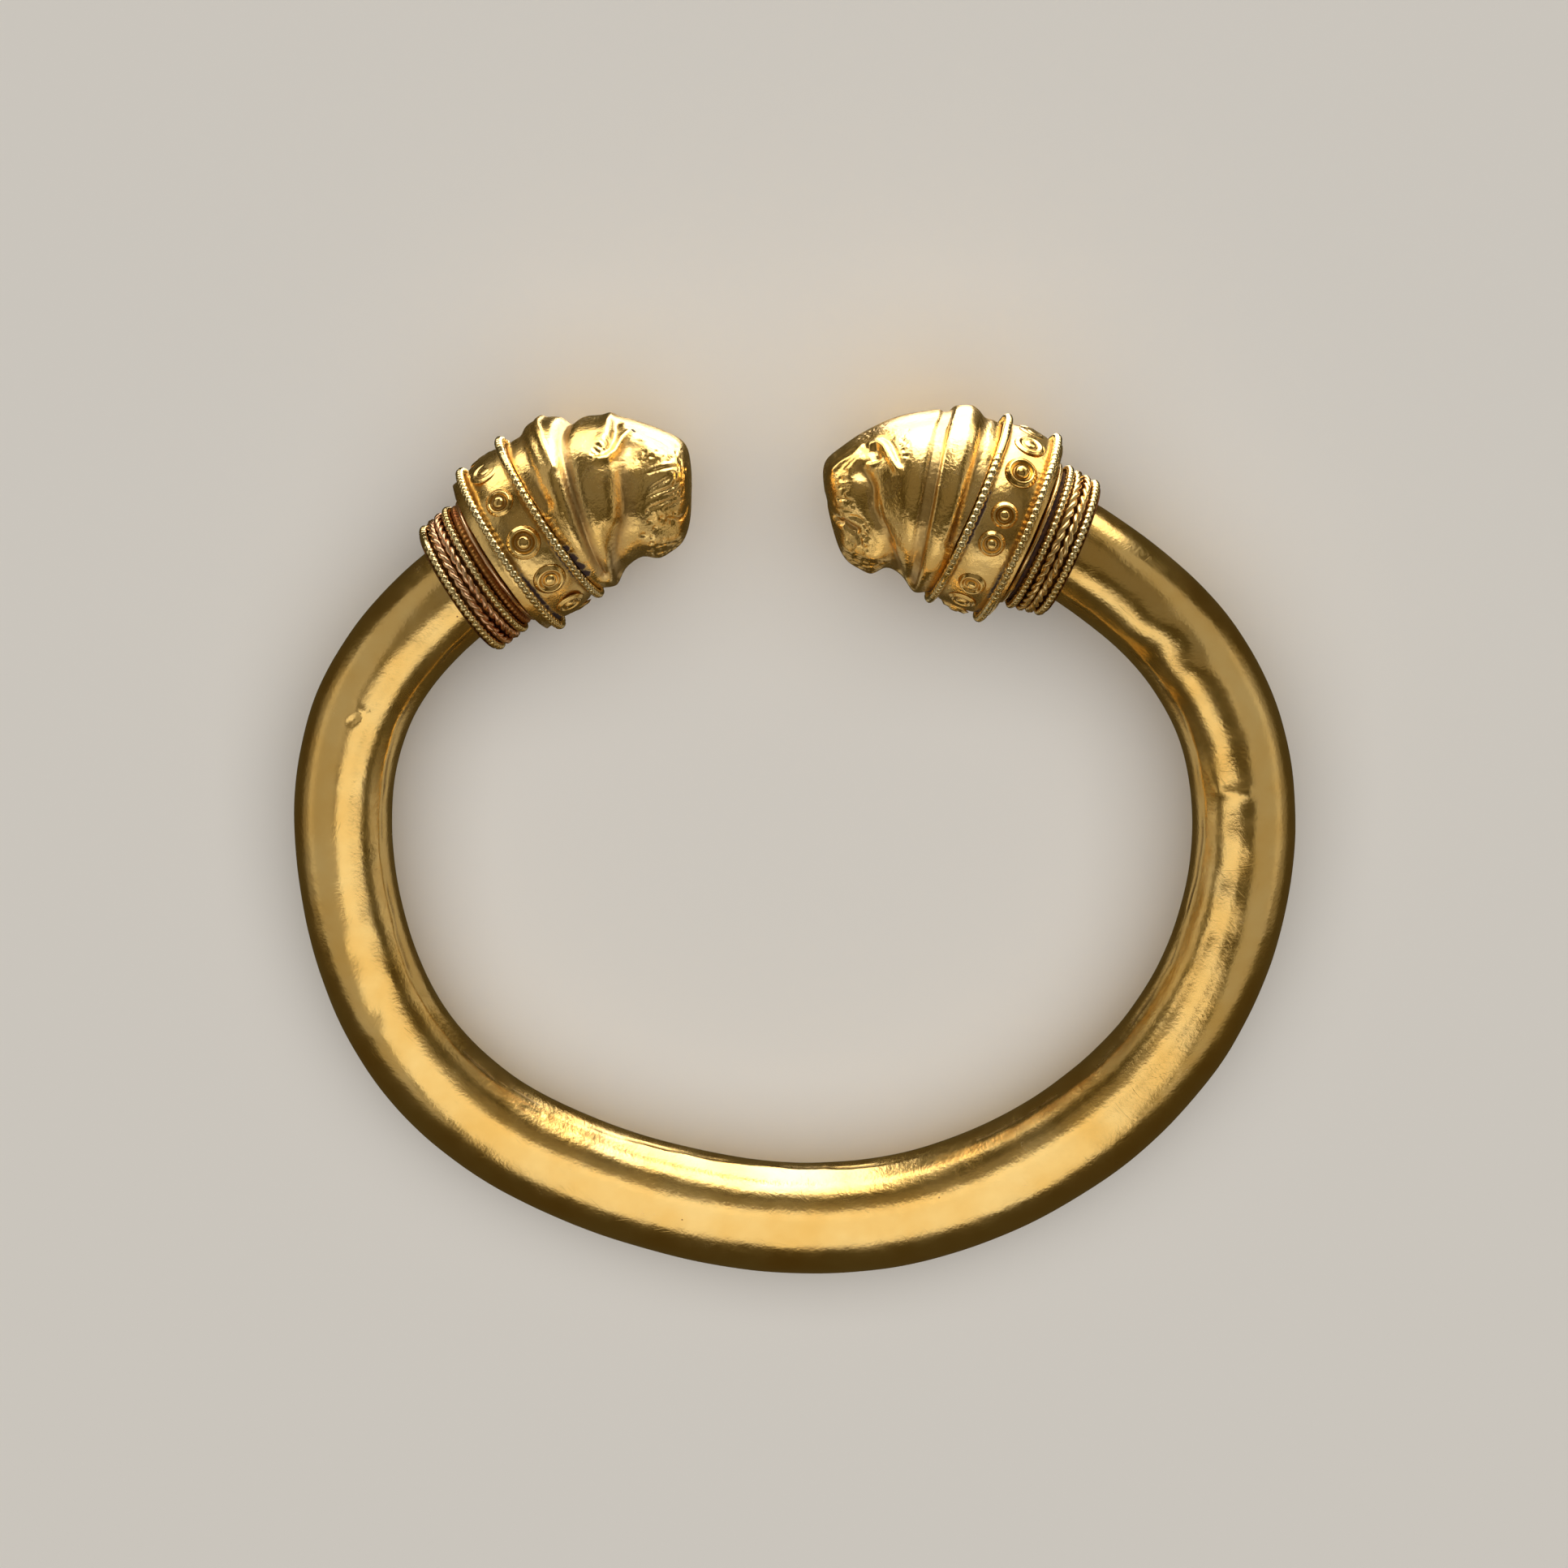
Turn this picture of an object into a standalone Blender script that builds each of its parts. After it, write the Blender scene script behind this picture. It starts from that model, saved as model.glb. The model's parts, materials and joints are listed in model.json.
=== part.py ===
"""Gold bracelet whose two open ends carry animal heads, lying as it rests.

A hollow sheet-gold hoop, oval and a little unevenly bent, ends in two sleeves bound with
beaded and plaited wire. Each sleeve carries a bulging collar set with ringed granules,
framed by two beaded wires, and an animal head that looks across the gap at the other.

The bracelet is drawn in its own plane first: X to the right, Y towards the heads, Z up.
The collars are fatter than the hoop, so it rests on the back of the hoop and on one wire
of each end. The last step finds that pose, and wears a small flat where it touches.
"""
import math

import bmesh
import bpy
import numpy as np
from mathutils import Matrix, Vector

MM = 0.001

# Hoop: an oval, drawn by its centre line
HOOP_HALF_WIDTH = 36.04 * MM
HOOP_HALF_DEPTH = 31.11 * MM
TUBE_RADIUS_SIDE = 3.98 * MM
TUBE_RADIUS_BACK = 4.50 * MM
TUBE_FULLER_RIGHT = 0.11 * MM
# Bends left by the hand that shaped it: waves round the oval, amount, angle of a crest
HOOP_BENDS = (
    (3, 0.16 * MM, 262.0),
    (4, 0.26 * MM, 30.0),
    (5, 0.38 * MM, 78.0),
    (6, 0.29 * MM, 200.0),
)

# Where the hoop ends, as angles round the oval, and how far each end piece turns inwards
LEFT_END_ANGLE = 138.0
RIGHT_END_ANGLE = 51.5
LEFT_TURN_IN = 5.8
RIGHT_TURN_IN = 9.0
# Slant of the rings against the line that joins their centres
LEFT_ASKEW = 5.8
RIGHT_ASKEW = -1.5

# Clearances between pieces that touch on the real bracelet
PIECE_GAP = 0.05 * MM
SOCKET_GAP = 0.15 * MM
SOCKET_DEPTH = 1.3 * MM
SOCKET_FLOOR_GAP = 0.3 * MM

# Wires: radius of each wire, radius of the circle its middle follows, and how the sleeve
# widens towards the collar, in degrees
BEADED_WIRE = 0.36 * MM
PLAIT_WIRE = 0.34 * MM
RECESS_WIRE = 0.21 * MM
LEFT_SLEEVE_RING = 5.40 * MM
RIGHT_SLEEVE_RING = 5.36 * MM
LEFT_SLEEVE_FLARE = 1.5
RIGHT_SLEEVE_FLARE = 8.0
LEFT_COLLAR_RING = 7.12 * MM
RIGHT_COLLAR_RING = 7.68 * MM

# Places along an end piece, from the sleeve's mouth to the collar's front wire
SLEEVE_LIP = 0.10 * MM
SLEEVE_WIRE_SPACING = 2.29 * MM
LEFT_COLLAR_START = 4.76 * MM
RIGHT_COLLAR_START = 4.04 * MM
COLLAR_LIP = 0.26 * MM
LEFT_COLLAR_WIRE_SPACING = 3.92 * MM
RIGHT_COLLAR_WIRE_SPACING = 4.14 * MM
COLLAR_BULGE = 0.30 * MM

# Ring bosses: a wire ring with a granule in the middle
RING_RADIUS = 1.05 * MM
RING_WIRE = 0.21 * MM
GRANULE_RADIUS = 0.50 * MM
GRANULE_HEIGHT = 0.42 * MM
BOSS_FLOOR = 0.06 * MM
LEFT_BOSSES = 12
RIGHT_BOSSES = 15
LEFT_FIRST_BOSS = 31.0
RIGHT_FIRST_BOSS = 31.0
LEFT_BOSS_UNEVEN = (0.0,)
RIGHT_BOSS_UNEVEN = (0.0, 0.0, 4.0, -2.0, 4.0)

# Heads: a spine that bends inwards, and the reach above, below and beside it at stations,
# as shares of the ring radius of the collar that carries the head
LEFT_HEAD_LENGTH = 10.3 * MM
RIGHT_HEAD_LENGTH = 10.0 * MM
LEFT_HEAD_BEND = 32.0
RIGHT_HEAD_BEND = 33.5
MUZZLE_ROUND = 1.15 * MM
MUZZLE_BLUNTNESS = 0.6
SECTION_SQUARENESS = 2.2
HEAD_STATIONS = (0.0, 0.2, 0.42, 0.6, 0.8, 1.0)
LEFT_HEAD_TOP = (0.913, 0.997, 0.864, 0.772, 0.625, 0.442)
LEFT_HEAD_UNDER = (0.948, 1.018, 0.871, 0.815, 0.864, 0.758)
LEFT_HEAD_BESIDE = (0.913, 0.997, 0.927, 0.857, 0.702, 0.590)
RIGHT_HEAD_TOP = (0.911, 0.977, 0.833, 0.729, 0.579, 0.404)
RIGHT_HEAD_UNDER = (0.938, 0.990, 0.853, 0.794, 0.853, 0.749)
RIGHT_HEAD_BESIDE = (0.911, 0.964, 0.879, 0.801, 0.651, 0.547)

# Carving on the heads that shows from a step away: depths, and widths along the spine
MANE_GROOVE_DEPTH = 0.60 * MM
MANE_GROOVE_WIDTH = 0.55 * MM
MANE_GROOVE_FADE = 0.8
CHEEK_GROOVE_DEPTH = 0.55 * MM
CHEEK_GROOVE_WIDTH = 0.60 * MM
MOUTH_DEPTH = 0.60 * MM
MOUTH_ANGLE = -30.0
MOUTH_START = 0.86
BROW_RISE = 0.35 * MM
BROW_STATION = 0.60
BROW_ANGLE = 45.0
BROW_WIDTH = 0.90 * MM
LEFT_MANE_GROOVE = (0.235, 0.10, 0.07)
RIGHT_MANE_GROOVE = (0.290, 0.04, 0.06)
LEFT_CHEEK_GROOVE = (0.640, 0.05)
RIGHT_CHEEK_GROOVE = (0.650, 0.16)

# Worn flats where the bracelet rests
FLAT_DEPTH = 0.10 * MM

# How finely the round shapes are faceted
HOOP_STATIONS = 64
HOOP_SIDES = 10
RING_SEGMENTS = 30
WIRE_SIDES = 5
THIN_WIRE_SIDES = 4
BOSS_SIDES = 8
COLLAR_ROWS = 5
HEAD_ROWS = 17
HEAD_SIDES = 24
CAP_ANGLES = (30.0, 58.0, 80.0)

# Colours as linear light, with roughness: gold throughout, redder in the bound sleeves
POLISHED_GOLD = (0.63, 0.38, 0.10)
SHEET_GOLD = (0.60, 0.35, 0.09)
WIRE_GOLD = (0.62, 0.37, 0.11)
RED_GOLD = (0.45, 0.20, 0.07)


def clear_scene():
    """Remove whatever the opened file holds."""
    for item in list(bpy.data.objects):
        bpy.data.objects.remove(item, do_unlink=True)


def loft(rows, closed=False):
    """Points and faces of a skin over rows of points, its ends capped unless it closes."""
    count = len(rows)
    sides = len(rows[0])
    points = np.array(rows).reshape(-1, 3)
    faces = []
    last = count if closed else count - 1
    for row in range(last):
        here = row * sides
        there = ((row + 1) % count) * sides
        for side in range(sides):
            after = (side + 1) % sides
            faces.append((here + side, here + after, there + after, there + side))
    if not closed:
        faces.append(tuple(range(sides))[::-1])
        faces.append(tuple(range((count - 1) * sides, count * sides)))
    return points, faces


def tube_radius(angle):
    """Radius of the hoop's tube at an angle round the oval, in radians."""
    towards_back = max(0.0, -math.sin(angle)) ** 2
    fuller = TUBE_FULLER_RIGHT * math.cos(angle)
    return TUBE_RADIUS_SIDE + (TUBE_RADIUS_BACK - TUBE_RADIUS_SIDE) * towards_back + fuller


def hoop_centre(angle):
    """Middle of the hoop's tube at an angle round the oval, in radians."""
    bend = 0.0
    for waves, amount, crest in HOOP_BENDS:
        bend += amount * math.cos(waves * angle - math.radians(crest))
    across = (HOOP_HALF_WIDTH + bend) * math.cos(angle)
    along = (HOOP_HALF_DEPTH + bend) * math.sin(angle)
    return np.array((across, along, 0.0))


def hoop_heading(angle, towards):
    """Unit vector along the hoop, for a walk towards growing (+1) or falling (-1) angles."""
    step = 0.01
    ahead = hoop_centre(angle + step * towards) - hoop_centre(angle - step * towards)
    return ahead / np.linalg.norm(ahead)


class EndPiece:
    """One end of the bracelet: its place, its turn and the sizes that differ by side."""

    def __init__(self, name, end_angle, towards, turn_in, askew, sleeve_ring, sleeve_flare,
                 collar_ring, collar_start, collar_spacing, head_length, head_bend):
        self.name = name
        self.angle = math.radians(end_angle)
        self.towards = towards
        self.askew = math.tan(math.radians(askew))
        self.sleeve_ring = sleeve_ring
        self.sleeve_flare = math.tan(math.radians(sleeve_flare))
        self.collar_ring = collar_ring
        self.collar_start = collar_start
        self.back_wire = collar_start + COLLAR_LIP + BEADED_WIRE
        self.front_wire = self.back_wire + collar_spacing
        self.collar_end = self.front_wire + COLLAR_LIP
        self.head_length = head_length
        self.head_bend = math.radians(head_bend)
        self.mouth = hoop_centre(self.angle)
        heading = hoop_heading(self.angle, towards)
        turn = math.atan2(heading[1], heading[0]) + towards * math.radians(turn_in)
        self.axis = np.array((math.cos(turn), math.sin(turn), 0.0))
        self.outward = np.array((-self.axis[1], self.axis[0], 0.0)) * -towards
        self.upward = np.array((0.0, 0.0, 1.0))

    def place(self, along, out, up):
        """A point of the end piece, from its own coordinates to the bracelet's plane."""
        out = out + self.askew * min(along, self.front_wire)
        return self.mouth + self.axis * along + self.outward * out + self.upward * up

    def sleeve_reach(self, along):
        """Radius of the circle that a sleeve wire's middle follows, at a place along it."""
        return self.sleeve_ring + self.sleeve_flare * along

    def place_rows(self, rows):
        return [[self.place(*point) for point in row] for row in rows]


def end_pieces():
    left = EndPiece("left", LEFT_END_ANGLE, -1, LEFT_TURN_IN, LEFT_ASKEW, LEFT_SLEEVE_RING,
                    LEFT_SLEEVE_FLARE, LEFT_COLLAR_RING, LEFT_COLLAR_START,
                    LEFT_COLLAR_WIRE_SPACING, LEFT_HEAD_LENGTH, LEFT_HEAD_BEND)
    right = EndPiece("right", RIGHT_END_ANGLE, 1, RIGHT_TURN_IN, RIGHT_ASKEW,
                     RIGHT_SLEEVE_RING, RIGHT_SLEEVE_FLARE, RIGHT_COLLAR_RING,
                     RIGHT_COLLAR_START, RIGHT_COLLAR_WIRE_SPACING, RIGHT_HEAD_LENGTH,
                     RIGHT_HEAD_BEND)
    return left, right


def circle(along, radius, sides=RING_SEGMENTS):
    """A ring of points square to an end piece's axis."""
    ring = []
    for side in range(sides):
        angle = 2 * math.pi * side / sides
        ring.append((along, radius * math.cos(angle), radius * math.sin(angle)))
    return ring


def hoop(left, right):
    """The hollow tube as one solid, its two ends pushed into the sleeves' sockets."""
    start = right.angle
    sweep = left.angle - 2 * math.pi - start
    depth = SOCKET_DEPTH - SOCKET_FLOOR_GAP
    path = [(right.place(depth, 0, 0), -right.axis, tube_radius(start))]
    for station in range(HOOP_STATIONS + 1):
        angle = start + sweep * station / HOOP_STATIONS
        heading = hoop_heading(angle, -1)
        if station == 0:
            heading = heading - right.axis
        if station == HOOP_STATIONS:
            heading = heading + left.axis
        heading = heading / np.linalg.norm(heading)
        path.append((hoop_centre(angle), heading, tube_radius(angle)))
    path.append((left.place(depth, 0, 0), left.axis, tube_radius(left.angle)))
    rows = []
    for centre, heading, radius in path:
        aside = np.array((-heading[1], heading[0], 0.0))
        row = []
        for side in range(HOOP_SIDES):
            angle = 2 * math.pi * side / HOOP_SIDES
            point = centre + aside * radius * math.cos(angle)
            point[2] = radius * math.sin(angle)
            row.append(point)
        rows.append(row)
    return loft(rows)


def sleeve(end):
    """The core that the sleeve's wires are wound on, with a socket for the hoop."""
    bore = tube_radius(end.angle) + SOCKET_GAP
    under_wires = BEADED_WIRE + PIECE_GAP
    length = end.collar_start - PIECE_GAP
    profile = (
        (SOCKET_DEPTH, bore),
        (0.0, bore),
        (0.0, end.sleeve_reach(0.0) - under_wires),
        (length, end.sleeve_reach(length) - under_wires),
    )
    return loft(end.place_rows([circle(along, radius) for along, radius in profile]))


def collar(end):
    """The bulging sheet band between the collar's two beaded wires."""
    seat = end.collar_ring - BEADED_WIRE - PIECE_GAP
    profile = [(end.collar_start, seat)]
    bulge_start = end.back_wire + BEADED_WIRE + PIECE_GAP
    bulge_end = end.front_wire - BEADED_WIRE - PIECE_GAP
    for row in range(COLLAR_ROWS):
        share = row / (COLLAR_ROWS - 1)
        along = bulge_start + (bulge_end - bulge_start) * share
        profile.append((along, seat + COLLAR_BULGE * math.sin(math.pi * share)))
    profile.append((end.collar_end, seat))
    return loft(end.place_rows([circle(along, radius) for along, radius in profile]))


def wire(end, along, ring, thickness, sides):
    """A closed ring of wire round an end piece."""
    rows = []
    for segment in range(RING_SEGMENTS):
        turn = 2 * math.pi * segment / RING_SEGMENTS
        row = []
        for side in range(sides):
            angle = 2 * math.pi * side / sides
            reach = ring + thickness * math.cos(angle)
            row.append((along + thickness * math.sin(angle), reach * math.cos(turn),
                        reach * math.sin(turn)))
        rows.append(row)
    return loft(end.place_rows(rows), closed=True)


def wires(end):
    """Every wire of an end piece: name, place along it, ring radius, thickness, sides."""
    sleeve_outer = SLEEVE_LIP + BEADED_WIRE
    sleeve_inner = sleeve_outer + SLEEVE_WIRE_SPACING
    middle = (sleeve_outer + sleeve_inner) / 2
    aside = PLAIT_WIRE + PIECE_GAP / 2
    recess = (sleeve_inner + BEADED_WIRE + end.collar_start) / 2
    places = (
        ("sleeve_outer_wire", sleeve_outer, BEADED_WIRE, WIRE_SIDES),
        ("plait_wire_a", middle - aside, PLAIT_WIRE, THIN_WIRE_SIDES),
        ("plait_wire_b", middle + aside, PLAIT_WIRE, THIN_WIRE_SIDES),
        ("sleeve_inner_wire", sleeve_inner, BEADED_WIRE, WIRE_SIDES),
        ("recess_wire", recess, RECESS_WIRE, THIN_WIRE_SIDES),
    )
    table = []
    for name, along, thickness, sides in places:
        ring = end.sleeve_reach(along) - BEADED_WIRE + thickness
        table.append((name, along, ring, thickness, sides))
    table.append(("collar_back_wire", end.back_wire, end.collar_ring, BEADED_WIRE, WIRE_SIDES))
    table.append(("collar_front_wire", end.front_wire, end.collar_ring, BEADED_WIRE, WIRE_SIDES))
    return table


def boss(end, turn):
    """A ring of wire with a granule inside it, turned as one shape on the collar's bulge."""
    seat = end.collar_ring - BEADED_WIRE + COLLAR_BULGE
    middle = (end.back_wire + end.front_wire) / 2
    profile = (
        (RING_RADIUS + RING_WIRE, 0.0),
        (RING_RADIUS + RING_WIRE * 0.6, BOSS_FLOOR + RING_WIRE * 1.6),
        (RING_RADIUS - RING_WIRE * 0.6, BOSS_FLOOR + RING_WIRE * 1.6),
        (GRANULE_RADIUS, BOSS_FLOOR),
        (GRANULE_RADIUS * 0.6, BOSS_FLOOR + GRANULE_HEIGHT * 0.8),
    )
    rows = []
    for radius, height in profile:
        row = []
        for side in range(BOSS_SIDES):
            angle = 2 * math.pi * side / BOSS_SIDES
            reach = seat + height
            round_the_collar = radius * math.sin(angle)
            out = reach * math.cos(turn) - round_the_collar * math.sin(turn)
            up = reach * math.sin(turn) + round_the_collar * math.cos(turn)
            row.append((middle + radius * math.cos(angle), out, up))
        rows.append(row)
    return loft(end.place_rows(rows))


def smooth(values, share):
    """Value at a share of the head's length, on a smooth curve through its stations."""
    stations = HEAD_STATIONS
    index = 0
    while index < len(stations) - 2 and share > stations[index + 1]:
        index += 1
    width = stations[index + 1] - stations[index]
    part = (share - stations[index]) / width
    slopes = []
    for at in (index, index + 1):
        low = max(at - 1, 0)
        high = min(at + 1, len(stations) - 1)
        slopes.append((values[high] - values[low]) / (stations[high] - stations[low]) * width)
    square = part * part
    cube = square * part
    return (values[index] * (2 * cube - 3 * square + 1) + slopes[0] * (cube - 2 * square + part)
            + values[index + 1] * (3 * square - 2 * cube) + slopes[1] * (cube - square))


def spine(end, share):
    """Middle of the head at a share of its length, and the bend there, in radians."""
    radius = end.head_length / end.head_bend
    angle = end.head_bend * share
    return radius * math.sin(angle), -radius * (1 - math.cos(angle)), angle


def head_reach(end, form, share, angle):
    """How far the head's skin stands from its spine."""
    top, under, beside, mane_line, cheek_line = form
    tall = smooth(top if math.sin(angle) > 0 else under, share) * end.collar_ring
    wide = smooth(beside, share) * end.collar_ring
    power = SECTION_SQUARENESS
    reach = (abs(math.cos(angle) / wide) ** power + abs(math.sin(angle) / tall) ** power)
    reach = reach ** (-1 / power)
    lift = math.sin(angle)
    mane = mane_line[0] + mane_line[1] * lift + mane_line[2] * lift * lift
    away = (share - mane) * end.head_length / MANE_GROOVE_WIDTH
    fade = 1 - MANE_GROOVE_FADE * max(0.0, -lift) ** 4
    reach -= MANE_GROOVE_DEPTH * fade * math.exp(-away * away)
    cheek = cheek_line[0] + cheek_line[1] * lift
    away = (share - cheek) * end.head_length / CHEEK_GROOVE_WIDTH
    reach -= CHEEK_GROOVE_DEPTH * math.exp(-away * away) * (1 - lift ** 4)
    flank = math.pi - angle if math.cos(angle) < 0 else angle
    off_brow = (flank - math.radians(BROW_ANGLE)) * wide
    along_brow = (share - BROW_STATION) * end.head_length
    away = (off_brow * off_brow + along_brow * along_brow) / BROW_WIDTH ** 2
    return reach + BROW_RISE * math.exp(-away)


def head(end, form):
    """The animal's head, from the collar's front wire to the muzzle."""
    start = end.collar_end + PIECE_GAP
    rows = []
    stations = [(row / (HEAD_ROWS - 1), 0.0, 1.0) for row in range(HEAD_ROWS)]
    for degrees in CAP_ANGLES:
        turn = math.radians(degrees)
        stations.append((1.0, MUZZLE_ROUND * math.sin(turn), math.cos(turn) ** MUZZLE_BLUNTNESS))
    for share, beyond, shrink in stations:
        along, out, bend = spine(end, share)
        along += beyond * math.cos(bend)
        out -= beyond * math.sin(bend)
        row = []
        for side in range(HEAD_SIDES):
            angle = 2 * math.pi * side / HEAD_SIDES
            reach = head_reach(end, form, share, angle)
            flank = math.degrees(math.asin(math.sin(angle)))
            if share >= MOUTH_START and abs(flank - MOUTH_ANGLE) < 1:
                reach -= MOUTH_DEPTH
            reach *= shrink
            rise = reach * math.sin(angle)
            row.append((start + along + rise * math.sin(bend), out + rise * math.cos(bend),
                        reach * math.cos(angle)))
        rows.append(row)
    return loft(end.place_rows(rows))


def build_pieces():
    """Every piece in the bracelet's plane: name, points, faces, colour and roughness."""
    left, right = end_pieces()
    forms = {
        "left": (LEFT_HEAD_TOP, LEFT_HEAD_UNDER, LEFT_HEAD_BESIDE, LEFT_MANE_GROOVE,
                 LEFT_CHEEK_GROOVE),
        "right": (RIGHT_HEAD_TOP, RIGHT_HEAD_UNDER, RIGHT_HEAD_BESIDE, RIGHT_MANE_GROOVE,
                  RIGHT_CHEEK_GROOVE),
    }
    bosses = {
        "left": (LEFT_BOSSES, LEFT_FIRST_BOSS, LEFT_BOSS_UNEVEN),
        "right": (RIGHT_BOSSES, RIGHT_FIRST_BOSS, RIGHT_BOSS_UNEVEN),
    }
    pieces = [("hoop", hoop(left, right), POLISHED_GOLD, 0.32)]
    for end in (left, right):
        pieces.append((end.name + "_sleeve", sleeve(end), RED_GOLD, 0.45))
        pieces.append((end.name + "_collar", collar(end), SHEET_GOLD, 0.35))
        pieces.append((end.name + "_head", head(end, forms[end.name]), SHEET_GOLD, 0.35))
        for name, along, ring, thickness, sides in wires(end):
            colour = RED_GOLD if "plait" in name or "recess" in name else WIRE_GOLD
            shape = wire(end, along, ring, thickness, sides)
            pieces.append((end.name + "_" + name, shape, colour, 0.35))
        count, first, uneven = bosses[end.name]
        for number in range(count):
            degrees = first + 360.0 * number / count + uneven[number % len(uneven)]
            shape = boss(end, math.radians(degrees))
            name = f"{end.name}_ring_boss_{number + 1:02d}"
            pieces.append((name, shape, WIRE_GOLD, 0.35))
    return pieces


def resting_plane(pieces):
    """Normal and height of the plane that the back of the hoop and both ends touch."""
    groups = {"hoop": [], "left": [], "right": []}
    for name, (points, _), _, _ in pieces:
        groups[name.split("_")[0]].append(points)
    clouds = [np.concatenate(points) for points in groups.values()]
    normal = np.array((0.0, 0.0, 1.0))
    for _ in range(12):
        touching = [cloud[np.argmin(cloud @ normal)] for cloud in clouds]
        normal = np.cross(touching[1] - touching[0], touching[2] - touching[0])
        normal *= math.copysign(1.0, normal[2]) / np.linalg.norm(normal)
    lowest = min(float((cloud @ normal).min()) for cloud in clouds)
    return normal, lowest + FLAT_DEPTH


def resting_matrix(pieces, normal, height):
    """Lay the bracelet on Z = 0 with the middle of its outline over the origin."""
    up = Vector(normal)
    side = Vector((1.0, 0.0, 0.0))
    side = (side - up * side.dot(up)).normalized()
    turn = Matrix((side, up.cross(side), up))
    points = np.concatenate([shape[0] for _, shape, _, _ in pieces]) @ np.array(turn).T
    middle = (points.min(axis=0) + points.max(axis=0)) / 2
    return Matrix.Translation((-middle[0], -middle[1], -height)) @ turn.to_4x4()


def gold(name, colour, roughness):
    """A gold alloy of one colour, made once for each name."""
    if name in bpy.data.materials:
        return bpy.data.materials[name]
    material = bpy.data.materials.new(name)
    material.use_nodes = True
    shader = material.node_tree.nodes["Principled BSDF"]
    shader.inputs["Base Color"].default_value = (*colour, 1.0)
    shader.inputs["Metallic"].default_value = 1.0
    shader.inputs["Roughness"].default_value = roughness
    return material


def add_piece(name, shape, colour, roughness, normal, height, parent):
    """Make the object of one piece, worn flat where it would reach below the surface."""
    points, faces = shape
    sheet = bmesh.new()
    corners = [sheet.verts.new(point) for point in points]
    for face in faces:
        sheet.faces.new([corners[corner] for corner in face])
    bmesh.ops.recalc_face_normals(sheet, faces=sheet.faces[:])
    if float((points @ normal).min()) < height:
        everything = sheet.verts[:] + sheet.edges[:] + sheet.faces[:]
        cut = bmesh.ops.bisect_plane(sheet, geom=everything, dist=1e-7,
                                     plane_co=Vector(normal) * height,
                                     plane_no=Vector(normal), clear_inner=True)
        rim = [item for item in cut["geom_cut"] if isinstance(item, bmesh.types.BMEdge)]
        bmesh.ops.triangle_fill(sheet, edges=rim, use_dissolve=True, normal=Vector(normal))
        bmesh.ops.recalc_face_normals(sheet, faces=sheet.faces[:])
    mesh = bpy.data.meshes.new(name)
    sheet.to_mesh(mesh)
    sheet.free()
    mesh.shade_smooth()
    mesh.set_sharp_from_angle(angle=math.radians(40))
    piece = bpy.data.objects.new(name, mesh)
    bpy.context.scene.collection.objects.link(piece)
    role = name.replace("left_", "").replace("right_", "").rstrip("0123456789_")
    piece.data.materials.append(gold(role + "_gold", colour, roughness))
    piece.parent = parent
    return piece


def main():
    clear_scene()
    pieces = build_pieces()
    normal, height = resting_plane(pieces)
    rest = bpy.data.objects.new("resting_pose", None)
    bpy.context.scene.collection.objects.link(rest)
    rest.matrix_world = resting_matrix(pieces, normal, height)
    for name, shape, colour, roughness in pieces:
        add_piece(name, shape, colour, roughness, normal, height, rest)


main()
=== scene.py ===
# %% [markdown]
# # A gold bracelet with two animal heads
#
# The real bracelet is a hollow hoop of sheet gold. Each end goes into a sleeve bound with
# beaded and twisted wire, then come a collar set with ringed granules and an animal's head.
# The measured solids of the bracelet are loaded first. Every piece made below stands in the
# place of one or more of them and keeps their sizes, so nothing has to be fitted by eye.

# %% Load the measured solids
import json
import math

import bmesh
import bpy
import numpy as np
from mathutils import Matrix, Vector, noise

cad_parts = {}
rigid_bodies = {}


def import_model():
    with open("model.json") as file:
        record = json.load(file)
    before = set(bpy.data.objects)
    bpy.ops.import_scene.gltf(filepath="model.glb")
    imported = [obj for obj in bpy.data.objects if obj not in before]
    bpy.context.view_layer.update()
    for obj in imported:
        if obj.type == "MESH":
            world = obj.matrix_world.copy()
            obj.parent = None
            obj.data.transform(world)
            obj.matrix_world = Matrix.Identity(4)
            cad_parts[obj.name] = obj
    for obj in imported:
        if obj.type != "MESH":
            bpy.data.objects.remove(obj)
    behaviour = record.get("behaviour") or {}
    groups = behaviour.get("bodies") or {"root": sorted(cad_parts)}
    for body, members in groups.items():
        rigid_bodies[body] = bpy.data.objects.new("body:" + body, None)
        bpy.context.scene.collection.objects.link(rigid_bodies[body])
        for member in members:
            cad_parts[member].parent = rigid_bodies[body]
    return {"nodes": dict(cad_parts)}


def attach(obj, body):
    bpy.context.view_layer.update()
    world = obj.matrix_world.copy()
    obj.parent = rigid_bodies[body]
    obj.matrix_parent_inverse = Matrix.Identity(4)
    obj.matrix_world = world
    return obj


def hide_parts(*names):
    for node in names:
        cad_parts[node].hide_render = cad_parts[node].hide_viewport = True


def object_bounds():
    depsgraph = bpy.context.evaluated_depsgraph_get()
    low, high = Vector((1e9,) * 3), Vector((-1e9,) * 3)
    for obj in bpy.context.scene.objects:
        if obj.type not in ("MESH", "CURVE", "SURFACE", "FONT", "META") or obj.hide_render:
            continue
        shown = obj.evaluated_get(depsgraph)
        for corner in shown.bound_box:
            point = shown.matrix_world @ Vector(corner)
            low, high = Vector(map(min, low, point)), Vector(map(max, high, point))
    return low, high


# One millimetre in the frame's metres
MM = 0.001
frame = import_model()
cad_low, cad_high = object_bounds()
print("solids:", len(frame["nodes"]), "in a box of", [round(side / MM, 1) for side in cad_high - cad_low])

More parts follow.
